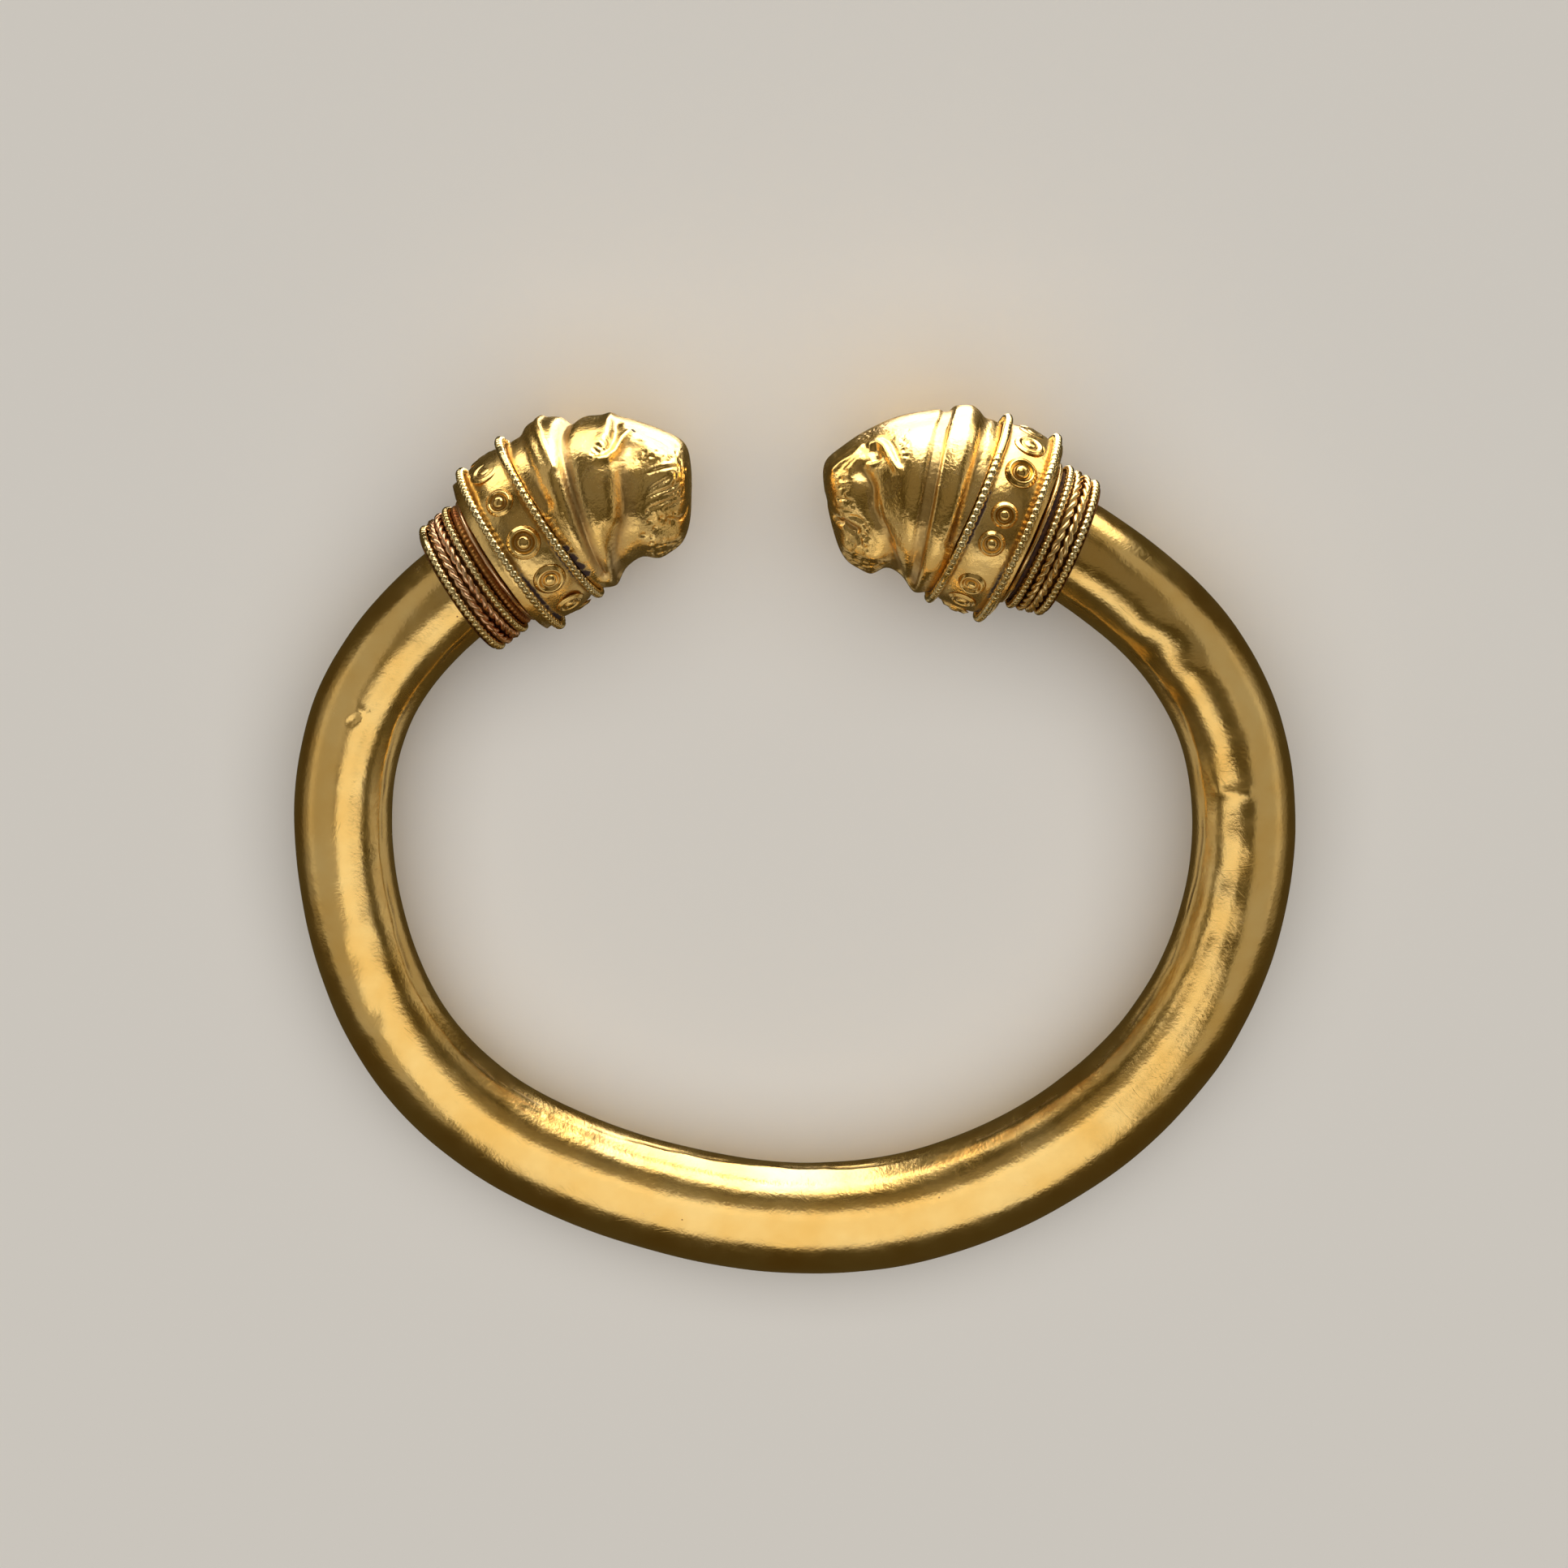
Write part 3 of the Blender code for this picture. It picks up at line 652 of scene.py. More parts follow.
swing = add(sweep_tree, "ShaderNodeMath", {0: swell.outputs[0], 1: given["Unevenness"]},
            operation="MULTIPLY")
facing = add(sweep_tree, "GeometryNodeInputNormal")
push = add(sweep_tree, "ShaderNodeVectorMath", {0: facing.outputs[0], "Scale": swing.outputs[0]},
           operation="SCALE")
beaten = add(sweep_tree, "GeometryNodeSetPosition",
             {"Geometry": tube.outputs[0], "Offset": push.outputs[0]})
end_tree(sweep_tree, given, [beaten.outputs[0]])

# %% Sweep the hoop
HOOP_STATIONS = 600
HOOP_SIDES = 132
HOOP_UNEVENNESS = 0.16
HOOP_WAVE_SIZE = 7.0

walk = np.linspace(right.angle, left.angle - 2 * math.pi, HOOP_STATIONS)
socket_depth = SOCKET_DEPTH - SOCKET_FLOOR_GAP
path = np.vstack((right.place(socket_depth, 0, 0), hoop_centre(walk), left.place(socket_depth, 0, 0)))
radii = tube_radius(np.concatenate(([right.angle], walk, [left.angle])))
hoop_mesh = grow(path_mesh(path, False, reach=radii), sweep_tree, Sides=HOOP_SIDES,
                 Unevenness=HOOP_UNEVENNESS, Wave_Size=HOOP_WAVE_SIZE, Material=burnished_hoop)
print("hoop:", len(path), "sections with", len(hoop_mesh.vertices), "corners in all")

# %% Dents and a nick on the hoop
HOOP_HOLLOW_FULL = 0.5
DENTS = [
    # rise, width, then degrees round the oval and degrees from the top towards the outside
    (-0.16, 0.30, ((-200.2, 0), (-199.6, 4))),
    (0.09, 0.40, ((-201.4, -6), (-201.4, 3))),
    (-0.05, 1.0, ((-166.5, -18), (-164.5, 2))),
    (0.04, 0.9, ((-169.0, -14), (-168.5, 0))),
    (-0.06, 0.9, ((-158.5, -10), (-156.0, 6))),
    (0.05, 0.8, ((-154.0, -6), (-153.0, 8))),
    (-0.15, 1.4, ((33.5, -40), (32.5, -14))),
    (0.10, 1.3, ((38.0, -36), (37.0, -8))),
    (0.10, 1.1, ((27.5, -34), (28.5, -8))),
    (-0.09, 1.4, ((15.8, -30), (16.6, -4))),
    (0.08, 0.45, ((9.6, -34), (9.2, -2))),
    (-0.08, 1.8, ((6.4, -38), (7.0, -6))),
    (0.07, 1.8, ((1.8, -38), (2.4, -6))),
    (-0.06, 1.8, ((-2.8, -40), (-2.2, -8))),
    (0.06, 1.8, ((-7.6, -38), (-7.0, -6))),
    (-0.04, 1.5, ((-12.0, -30), (-11.6, -6))),
    (0.03, 1.4, ((-16.0, -26), (-15.8, -6))),
    (-0.05, 0.20, ((-114, -13),)),
    (-0.05, 0.18, ((-71.2, 37),)),
    (-0.05, 0.22, ((-96, 22),)),
    (-0.07, 0.14, ((-130.5, -52), (-127.5, -56))),
]

arrows = corners(hoop_mesh, "normal")
carved, hollow = carve(corners(hoop_mesh), arrows, hoop_skin, DENTS)
print("deepest dent in mm:", round(float(hollow.max()), 2))

# %% The seam along the inside of the hoop
SEAM_WALKS = (-219.0, -200.0, -150.0, -125.0, -95.0, -65.0, 0.0, 48.0)
SEAM_TURNS = (-54.0, -57.0, -62.0, -67.0, -86.0, -70.0, -64.0, -53.0)
SEAM_DEPTH = 0.07
SEAM_WIDTH = 0.14
SEAM_STEP = 0.05
SEAM_STEP_PLACE = 0.35
SEAM_STEP_WIDTH = 0.4
# Waves along the hoop: how much, how much faster than the walk, and where they start
SEAM_WANDER = ((2.2, 0.11, 0.0), (1.4, 0.31, 1.0), (0.7, 0.9, 0.0))
SEAM_OPENING = ((0.5, 0.23, 2.0), (0.4, 0.61, 0.0))
SEAM_MEAN_OPENING = 0.65
SEAM_LEAST_OPENING = 0.15


def waves_along(walk, waves):
    """Sum of a few sine waves at places along the hoop."""
    return sum(amount * np.sin(walk * pace + start) for amount, pace, start in waves)


angle = np.arctan2(carved[:, 1] / HOOP_HALF_DEPTH, carved[:, 0] / HOOP_HALF_WIDTH)
from_middle = carved - hoop_centre(angle)
heading = hoop_heading(angle, 1)
out = from_middle[:, 0] * heading[:, 1] - from_middle[:, 1] * heading[:, 0]
turn = np.degrees(np.arctan2(out, from_middle[:, 2]))
# Degrees run from the right end's 51 down to the left end's -222, with no jump on the hoop
walk = np.degrees(angle)
walk = np.where(walk > 60, walk - 360, walk)
seam_turn = np.interp(walk, SEAM_WALKS, SEAM_TURNS)
off_seam = np.radians(turn - seam_turn - waves_along(walk, SEAM_WANDER)) * tube_radius(angle)
opening = SEAM_MEAN_OPENING + waves_along(walk, SEAM_OPENING)
crack = np.exp(-(off_seam / SEAM_WIDTH) ** 2) * np.clip(opening, SEAM_LEAST_OPENING, 1)
step = SEAM_STEP * np.exp(-((off_seam - SEAM_STEP_PLACE) / SEAM_STEP_WIDTH) ** 2)
carved = carved + arrows * (step - SEAM_DEPTH * crack)[:, None]
hoop_mesh.vertices.foreach_set("co", carved.ravel())
mark(hoop_mesh, "hollow", np.clip(hollow / HOOP_HOLLOW_FULL + crack, 0, 1))
lay("hoop_of_sheet_gold", hoop_mesh, "hoop_gold", "hoop")

# %% [markdown]
# ## Beaded wire
#
# Beaded wire is round wire rolled under a grooved tool until it swells into a row of lens-like
# beads. Eight such wires ring the bracelet. A tree sets one bead of few faces at even steps
# along a ring, turned along it and a little uneven, over a thin core that shows between them.
# Where the wire is rubbed smooth, the core grows until it hides its beads.

# %% The tree that strings beads
bead_tree, given = start_tree("beaded_wire", Beads="Int", Wire_Radius="Float", Bead_Length="Float",
                              Unevenness="Float", Seed="Int")
line = add(bead_tree, "GeometryNodeMeshToCurve", {0: given["Geometry"]})
worn = add(bead_tree, "GeometryNodeInputNamedAttribute", {"Name": "worn"}, data_type="FLOAT")
core_share = add(bead_tree, "ShaderNodeMapRange", {0: worn.outputs[0], 3: 0.70, 4: 0.97})
core_radius = add(bead_tree, "ShaderNodeMath", {0: core_share.outputs[0], 1: given["Wire Radius"]},
                  operation="MULTIPLY")
section = add(bead_tree, "GeometryNodeCurvePrimitiveCircle", {"Resolution": 10, "Radius": 1.0})
core = add(bead_tree, "GeometryNodeCurveToMesh",
           {"Curve": line.outputs[0], "Profile Curve": section.outputs[0],
            "Scale": core_radius.outputs[0]})
steps = add(bead_tree, "GeometryNodeResampleCurve", {"Curve": line.outputs[0], "Count": given["Beads"]})
along = add(bead_tree, "GeometryNodeInputTangent")
turned = add(bead_tree, "FunctionNodeAlignRotationToVector", {"Vector": along.outputs[0]}, axis="Z")
low = add(bead_tree, "ShaderNodeMath", {0: 1.0, 1: given["Unevenness"]}, operation="SUBTRACT")
size = add(bead_tree, "FunctionNodeRandomValue",
           {2: low.outputs[0], 3: 1.0, "Seed": given["Seed"]}, data_type="FLOAT")
wide = add(bead_tree, "ShaderNodeMath", {0: size.outputs[1], 1: given["Wire Radius"]},
           operation="MULTIPLY")
shape = add(bead_tree, "ShaderNodeCombineXYZ",
            {0: wide.outputs[0], 1: wide.outputs[0], 2: given["Bead Length"]})
bead = add(bead_tree, "GeometryNodeMeshUVSphere", {"Segments": 12, "Rings": 8, "Radius": 1.0})
string = add(bead_tree, "GeometryNodeInstanceOnPoints",
             {"Points": steps.outputs[0], "Instance": bead.outputs[0],
              "Rotation": turned.outputs[0], "Scale": shape.outputs[0]})
end_tree(bead_tree, given, [core.outputs[0], string.outputs[0]])

# %% String the eight beaded wires
BEAD_PITCH = {"sleeve": 0.54, "collar": 0.555}
BEAD_HALF_LENGTH = 0.33
BEAD_UNEVENNESS = 0.12
RING_POINTS = 180

ring_turns = np.linspace(0, 360, RING_POINTS, endpoint=False)
# Rubbed stretches: degrees from outward towards up, half their length, and how worn they are
RUBBED = {
    "left_collar_front_wire": ((34, 12, 0.85),),
    "right_collar_front_wire": ((36, 15, 0.9), (132, 8, 0.6), (160, 8, 0.6)),
    "right_collar_back_wire": ((140, 9, 0.6),),
    "left_sleeve_outer_wire": ((30, 14, 0.8),),
}


def rubbed(name):
    """How far each point of a ring is worn, from 0 to 1."""
    worn = np.zeros(RING_POINTS)
    for middle, half, amount in RUBBED.get(name, ()):
        away = np.abs((ring_turns - middle + 180) % 360 - 180) / half
        worn = np.maximum(worn, amount * np.exp(-away ** 4))
    return worn


def mark_hollows(mesh, end, along, ring, radius, clean=0.16):
    """Mark how deep each corner of a wire lies below its rim, with painted shade on its side that faces the
    axis; a share of it stays clean.
    """
    points = corners(mesh)
    place, reach = end.off_axis(points)
    depth = 1 - np.hypot(place - along, reach - ring) / radius
    # Painted shade: the side of a wire that faces the axis lies under it, so it is marked darker
    shade_underneath = np.clip((ring - reach) / radius, 0, 1)
    mark(mesh, "hollow", np.clip((depth - clean) * 2.0 + shade_underneath * 0.8, 0, 1))


def beaded_wires(end):
    """Names, places and rings of an end piece's beaded wires."""
    outer = SLEEVE_LIP + BEADED_WIRE
    inner = outer + SLEEVE_WIRE_SPACING
    return (("sleeve_outer_wire", outer, end.sleeve_reach(outer)),
            ("sleeve_inner_wire", inner, end.sleeve_reach(inner)),
            ("collar_back_wire", end.back_wire, end.collar_ring),
            ("collar_front_wire", end.front_wire, end.collar_ring))


for end in ends:
    for seed, (kind, along, ring) in enumerate(beaded_wires(end)):
        name = f"{end.name}_{kind}"
        beads = round(2 * math.pi * ring / BEAD_PITCH[kind.split("_")[0]])
        base = path_mesh(end.ring(along, ring, ring_turns), True, worn=rubbed(name))
        mesh = grow(base, bead_tree, Beads=beads, Wire_Radius=BEADED_WIRE,
                    Bead_Length=BEAD_HALF_LENGTH, Unevenness=BEAD_UNEVENNESS, Seed=seed,
                    Material=beaded_wire_gold)
        mark_hollows(mesh, end, along, ring, BEADED_WIRE)
        lay(name + "_beads", mesh, "wire_gold", name)

# %% [markdown]
# ## Twisted wire
#
# Between the beaded wires of a sleeve lie two cords of two strands each, one twisted to the
# left and one to the right. Side by side they look like a plait. The tree runs each strand
# round the ring as a helix: it turns about the path a whole number of times, so that the ring
# closes. A negative number of turns twists the other way.

# %% The tree that twists two strands
twist_tree, given = start_tree("twisted_wire", Turns="Int", Steps="Int", Strand_Radius="Float",
                               Twist_Radius="Float")
line = add(twist_tree, "GeometryNodeMeshToCurve", {0: given["Geometry"]})
steps = add(twist_tree, "GeometryNodeResampleCurve", {"Curve": line.outputs[0], "Count": given["Steps"]})
walked = add(twist_tree, "GeometryNodeSplineParameter")
along = add(twist_tree, "GeometryNodeInputTangent")
aside = add(twist_tree, "GeometryNodeInputNormal")
above = add(twist_tree, "ShaderNodeVectorMath", {0: along.outputs[0], 1: aside.outputs[0]},
            operation="CROSS_PRODUCT")
whole = add(twist_tree, "ShaderNodeMath", {0: given["Turns"], 1: math.tau}, operation="MULTIPLY")
section = add(twist_tree, "GeometryNodeCurvePrimitiveCircle",
              {"Resolution": 8, "Radius": given["Strand Radius"]})
strands = []
for phase in (0.0, math.pi):
    angle = add(twist_tree, "ShaderNodeMath", {0: walked.outputs["Factor"], 1: whole.outputs[0],
                                               2: phase}, operation="MULTIPLY_ADD")
    offset = None
    for direction, wave in ((aside.outputs[0], "COSINE"), (above.outputs[0], "SINE")):
        swing = add(twist_tree, "ShaderNodeMath", {0: angle.outputs[0]}, operation=wave)
        reach = add(twist_tree, "ShaderNodeMath", {0: swing.outputs[0], 1: given["Twist Radius"]},
                    operation="MULTIPLY")
        part = add(twist_tree, "ShaderNodeVectorMath", {0: direction, "Scale": reach.outputs[0]},
                   operation="SCALE").outputs[0]
        offset = part if offset is None else add(twist_tree, "ShaderNodeVectorMath",
                                                 {0: offset, 1: part}).outputs[0]
    helix = add(twist_tree, "GeometryNodeSetPosition",
                {"Geometry": steps.outputs[0], "Offset": offset})
    strand = add(twist_tree, "GeometryNodeCurveToMesh",
                 {"Curve": helix.outputs[0], "Profile Curve": section.outputs[0]})
    strands.append(strand.outputs[0])
end_tree(twist_tree, given, strands)

# %% Twist the four cords and lay the plain wires
STRAND_RADIUS = 0.195
TWIST_TURNS = {"left": 19, "right": 18}
TWIST_STEPS = 420
TWIST_GOLD = {"left": left_twisted_gold, "right": right_twisted_gold}
TWIST_CLEAN = 0.36
PLAIN_SIDES = 10
PLAIN_UNEVENNESS = 0.12
PLAIN_WAVE_SIZE = 1.2

for end in ends:
    middle = SLEEVE_LIP + BEADED_WIRE + SLEEVE_WIRE_SPACING / 2
    for kind, side in (("a", -1), ("b", 1)):
        along = middle + side * (PLAIT_WIRE + PIECE_GAP / 2)
        ring = end.sleeve_reach(along) - BEADED_WIRE + PLAIT_WIRE
        base = path_mesh(end.ring(along, ring, ring_turns), True)
        mesh = grow(base, twist_tree, Turns=side * TWIST_TURNS[end.name], Steps=TWIST_STEPS,
                    Strand_Radius=STRAND_RADIUS, Twist_Radius=PLAIT_WIRE - STRAND_RADIUS,
                    Material=TWIST_GOLD[end.name])
        mark_hollows(mesh, end, along, ring, PLAIT_WIRE, clean=TWIST_CLEAN)
        lay(f"{end.name}_twisted_wire_{kind}", mesh, "plait_gold", f"{end.name}_plait_wire_{kind}")
    inner = middle + SLEEVE_WIRE_SPACING / 2
    along = (inner + BEADED_WIRE + end.collar_start) / 2
    ring = end.sleeve_reach(along) - BEADED_WIRE + RECESS_WIRE
    base = path_mesh(end.ring(along, ring, ring_turns), True, reach=RECESS_WIRE)
    mesh = grow(base, sweep_tree, Sides=PLAIN_SIDES, Unevenness=PLAIN_UNEVENNESS,
                Wave_Size=PLAIN_WAVE_SIZE, Material=TWIST_GOLD[end.name])
    mark_hollows(mesh, end, along, ring, RECESS_WIRE)
    lay(f"{end.name}_recess_wire_plain", mesh, "plait_gold", f"{end.name}_recess_wire")

# %% [markdown]
# ## Sleeves and collars
#
# Both are turned shapes: a profile of sheet metal carried round the axis of an end piece. The
# sleeve is a socket with a thin lip at its mouth. The collar bulges between its two beaded
# wires. A lathe is the natural tool, so the profile is a short list of places along the axis
# and radii, and the rows of points are made smooth and a little uneven.

# %% A skin over rows of points


def skin_mesh(name, rows, material, **marks):
    """A mesh over rows of points, each row a ring, its two ends closed to a middle point."""
    count, sides = rows.shape[:2]
    points = rows.reshape(-1, 3)
    here = np.arange(sides)
    after = (here + 1) % sides
    faces = []
    for row in range(count - 1):
        start = row * sides
        faces.append(np.stack((start + here, start + after, start + sides + after,
                               start + sides + here), axis=1))
    faces = np.concatenate(faces).tolist()
    for row, turn in ((0, -1), (count - 1, 1)):
        hub = len(points)
        points = np.vstack((points, rows[row].mean(axis=0)))
        start = row * sides
        fan = np.stack((start + here, start + after, np.full(sides, hub)), axis=1)
        faces += fan[:, ::turn].tolist()
    mesh = bpy.data.meshes.new(name)
    mesh.from_pydata(points.tolist(), [], faces)
    sheet = bmesh.new()
    sheet.from_mesh(mesh)
    bmesh.ops.recalc_face_normals(sheet, faces=sheet.faces[:])
    sheet.to_mesh(mesh)
    sheet.free()
    mesh.shade_smooth()
    mesh.materials.append(material)
    for mark_name, values in marks.items():
        mark(mesh, mark_name, np.append(np.broadcast_to(values, (count, sides)), (0.0, 0.0)))
    return mesh


# %% A sleeve
LATHE_SIDES = 420
SLEEVE_ROWS = 40
# How much the film colour covers the sleeve; this is painted shade of its recess as well as old film
SLEEVE_FILM_AND_SHADE = 0.75
# Dark soil and painted shade round the gap before the sleeve's inner end: how strong, how far before it,
# how wide
SLEEVE_SOIL_AND_SHADE = (0.68, 0.6, 0.45)
# A ribbed slope behind the left inner wire: its height, place behind the wire, width and ribs
RIBBED_SLOPE = {"left": (0.30, 0.62, 0.34, 70), "right": (0.0, 0.62, 0.34, 70)}
RIB_HEIGHT = 0.18
lathe_turns = np.linspace(0, 360, LATHE_SIDES, endpoint=False)


def lathe_rows(end, profile):
    """Rows of points for a profile of places along the axis and radii."""
    return np.stack([end.ring(along, radius, lathe_turns) for along, radius in profile])


def sleeve_mesh(end):
    """The sleeve of an end piece: socket, lip and the slope that its wires are wound on."""
    bore = float(tube_radius(end.angle)) + SOCKET_GAP
    under_wires = BEADED_WIRE + PIECE_GAP
    length = end.collar_start - PIECE_GAP
    lip = end.sleeve_reach(0.0) - PIECE_GAP
    profile = [(SOCKET_DEPTH, 0.6 * bore), (SOCKET_DEPTH, bore), (0.0, bore), (0.0, lip),
               (SLEEVE_LIP, lip), (SLEEVE_LIP + 0.02, end.sleeve_reach(0.0) - under_wires)]
    rise, behind, half, ribs = RIBBED_SLOPE[end.name]
    slope_middle = SLEEVE_LIP + BEADED_WIRE + SLEEVE_WIRE_SPACING + behind
    ribbed = 1 + RIB_HEIGHT * np.cos(np.radians(lathe_turns) * ribs)
    for along in np.linspace(SLEEVE_LIP + 0.1, length, SLEEVE_ROWS):
        swell = rise * math.exp(-((along - slope_middle) / half) ** 2)
        profile.append((along, end.sleeve_reach(along) - under_wires + swell * ribbed))
    places = np.array([along for along, radius in profile])
    # A band of dark soil and painted shade round the gap before the collar
    strong, before, wide = SLEEVE_SOIL_AND_SHADE
    soil = strong * np.exp(-((places - (length - before)) / wide) ** 2)
    # Painted shade of the recess with the film: the whole sleeve is dark, the raised ribbed slope less so
    hollow = SLEEVE_FILM_AND_SHADE - 1.5 * rise * np.exp(-((places - slope_middle) / half) ** 2)
    return skin_mesh(end.name + "_sleeve", lathe_rows(end, profile), sleeve_gold,
                     hollow=hollow[:, None], soil=soil[:, None])


# %% A collar
COLLAR_ROWS = 36
COLLAR_OVERHANG = {"left": 0.42, "right": 0.02}
COLLAR_UNEVENNESS = 0.05
COLLAR_WAVE_SIZE = 1.6
# Painted shade beside both wires, in the film colour: how strong and how far it reaches
COLLAR_WIRE_SHADE = 0.7
COLLAR_WIRE_SHADE_REACH = 0.35
COLLAR_SOIL_REACH = 0.30
# Soil under the wires: which wire, middle and half length in degrees, how strong
COLLAR_SOIL = {
    "left": (("back", 128, 32, 0.72), ("back", 168, 22, 0.9), ("front", 120, 24, 0.6)),
    "right": (("front", 92, 24, 0.72), ("back", 126, 20, 0.62), ("back", 172, 20, 0.6)),
}


def collar_mesh(end):
    """The collar of an end piece: a lip, a bulge between two seats for wires, and an edge."""
    seat = end.collar_ring - BEADED_WIRE - PIECE_GAP
    bulge_start = end.back_wire + BEADED_WIRE
    bulge_end = end.front_wire - BEADED_WIRE
    lip_start = end.collar_start - COLLAR_OVERHANG[end.name]
    profile = [(end.collar_start + 0.12, seat - 0.42), (end.collar_start, seat - 0.38),
               (lip_start + 0.02, seat - 0.22), (lip_start, seat - 0.12), (lip_start + 0.05, seat),
               (end.back_wire, seat)]
    for share in np.linspace(0, 1, COLLAR_ROWS):
        along = bulge_start + (bulge_end - bulge_start) * share
        profile.append((along, seat + COLLAR_BULGE * math.sin(math.pi * share) ** 0.8))
    profile += [(end.front_wire, seat), (end.collar_end - 0.02, seat), (end.collar_end, seat - 0.06),
                (end.collar_end - 0.1, seat - 0.12)]
    along = np.array([along for along, radius in profile])[:, None]
    from_back, from_front = abs(along - bulge_start), abs(along - bulge_end)
    # Painted shade along the seats of the two wires
    hollow = COLLAR_WIRE_SHADE * np.exp(-(np.minimum(from_back, from_front) / COLLAR_WIRE_SHADE_REACH) ** 2)
    soil = np.zeros((len(profile), LATHE_SIDES))
    for wire, middle, half, amount in COLLAR_SOIL[end.name]:
        away = (from_back if wire == "back" else from_front) / COLLAR_SOIL_REACH
        round_it = np.abs((lathe_turns - middle + 180) % 360 - 180) / half
        soil = np.maximum(soil, amount * np.exp(-away ** 2 - round_it[None] ** 4))
    mesh = skin_mesh(end.name + "_collar", lathe_rows(end, profile), collar_sheet,
                     hollow=hollow, soil=soil)
    beaten = uneven(corners(mesh), corners(mesh, "normal"), COLLAR_UNEVENNESS, COLLAR_WAVE_SIZE)
    mesh.vertices.foreach_set("co", beaten.ravel())
    return mesh


# %% Turn the sleeves and the collars
for end in ends:
    lay(end.name + "_sleeve_sheet", sleeve_mesh(end), "sleeve_gold", end.name + "_sleeve")
    lay(end.name + "_collar_sheet", collar_mesh(end), "collar_gold", end.name + "_collar")

# %% [markdown]
# ## Ring bosses
#
# Each boss is a raised ring round a small dish, with a domed granule in its middle, soldered
# to the collar's bulge. One boss is turned once on the lathe from a short profile. The tree
# then sets a copy on every given point, facing the way the point's own arrow says. Size,
# height and tilt differ a little from boss to boss, and some are worn nearly flat.

# %% Turn one boss
BOSS_SIDES = 24
RING_CREST = 0.98
RING_SPREAD = 0.20
RING_HEIGHT = 0.30
GRANULE_RADIUS = 0.56
GRANULE_HEIGHT = 0.46
DISH_RADIUS = 0.59
DISH_WIDTH = 0.09

# Radii and heights: first the foot inside the collar, then the ring, then the granule
boss_profile = [(1.16, -0.14), (1.34, -0.10)]
for radius in (1.27, 1.20, 1.12, 1.05, 0.98, 0.91, 0.84, 0.77, 0.70, 0.63):
    boss_profile.append((radius, RING_HEIGHT * math.exp(-((radius - RING_CREST) / RING_SPREAD) ** 2)))
for radius in (0.55, 0.52, 0.45, 0.34, 0.18):
    flattened = math.sqrt(1 - (radius / GRANULE_RADIUS) ** 3)
    boss_profile.append((radius, 0.03 + GRANULE_HEIGHT * flattened))
boss_turns = np.linspace(0, math.tau, BOSS_SIDES, endpoint=False)
boss_rows = np.array([[(radius * math.cos(turn), radius * math.sin(turn), height)
                       for turn in boss_turns] for radius, height in boss_profile])
in_dish = np.array([math.exp(-((radius - DISH_RADIUS) / DISH_WIDTH) ** 2) if height > 0 else 0.4
                    for radius, height in boss_profile])
boss_mesh = skin_mesh("boss_form", boss_rows, boss_gold, hollow=in_dish[:, None])
boss_form = bpy.data.objects.new("boss_form", boss_mesh)
print("one boss:", len(boss_mesh.polygons), "faces")

# %% The tree that sets ring bosses
boss_tree, given = start_tree("ring_bosses", Boss="Object", Seed="Int")
arrow = add(boss_tree, "GeometryNodeInputNamedAttribute", {"Name": "arrow"}, data_type="FLOAT_VECTOR")
upright = add(boss_tree, "FunctionNodeAlignRotationToVector", {"Vector": arrow.outputs[0]}, axis="Z")
tilt = add(boss_tree, "FunctionNodeRandomValue",
           {0: (-0.08, -0.08, 0.0), 1: (0.08, 0.08, 6.0), "Seed": given["Seed"]},
           data_type="FLOAT_VECTOR")
lean_by = add(boss_tree, "FunctionNodeEulerToRotation", {0: tilt.outputs[0]})
leaning = add(boss_tree, "FunctionNodeRotateRotation",
              {0: upright.outputs[0], 1: lean_by.outputs[0]}, rotation_space="LOCAL")
size = add(boss_tree, "GeometryNodeInputNamedAttribute", {"Name": "size"}, data_type="FLOAT")
height = add(boss_tree, "GeometryNodeInputNamedAttribute", {"Name": "height"}, data_type="FLOAT")
stretch = add(boss_tree, "ShaderNodeCombineXYZ",
              {0: size.outputs[0], 1: size.outputs[0], 2: height.outputs[0]})
form = add(boss_tree, "GeometryNodeObjectInfo", {0: given["Boss"]})
set_bosses = add(boss_tree, "GeometryNodeInstanceOnPoints",
                 {"Points": given["Geometry"], "Instance": form.outputs["Geometry"],
                  "Rotation": leaning.outputs[0], "Scale": stretch.outputs[0]})
end_tree(boss_tree, given, [set_bosses.outputs[0]])

# %% Set the bosses on both collars
FIRST_BOSS = 31.0
OUTLINE_BOSS = (0.82, 0.30)
BOSS_SINK = 0.14
# How many, unevenness of their places in degrees, then size and height of those that show
BOSSES = {
    "left": (12, (0.0,), (0.95, 0.85, 1.00, 0.98, 0.92, 0.84), (0.35, 0.85, 1.00, 0.90, 0.65, 0.45)),
    "right": (15, (0.0, 0.0, 4.0, -2.0, 4.0), (0.95, 0.98, 0.80, 0.80, 0.84, 0.86),
              (0.50, 1.0, 0.9, 0.9, 0.9, 0.55)),
}

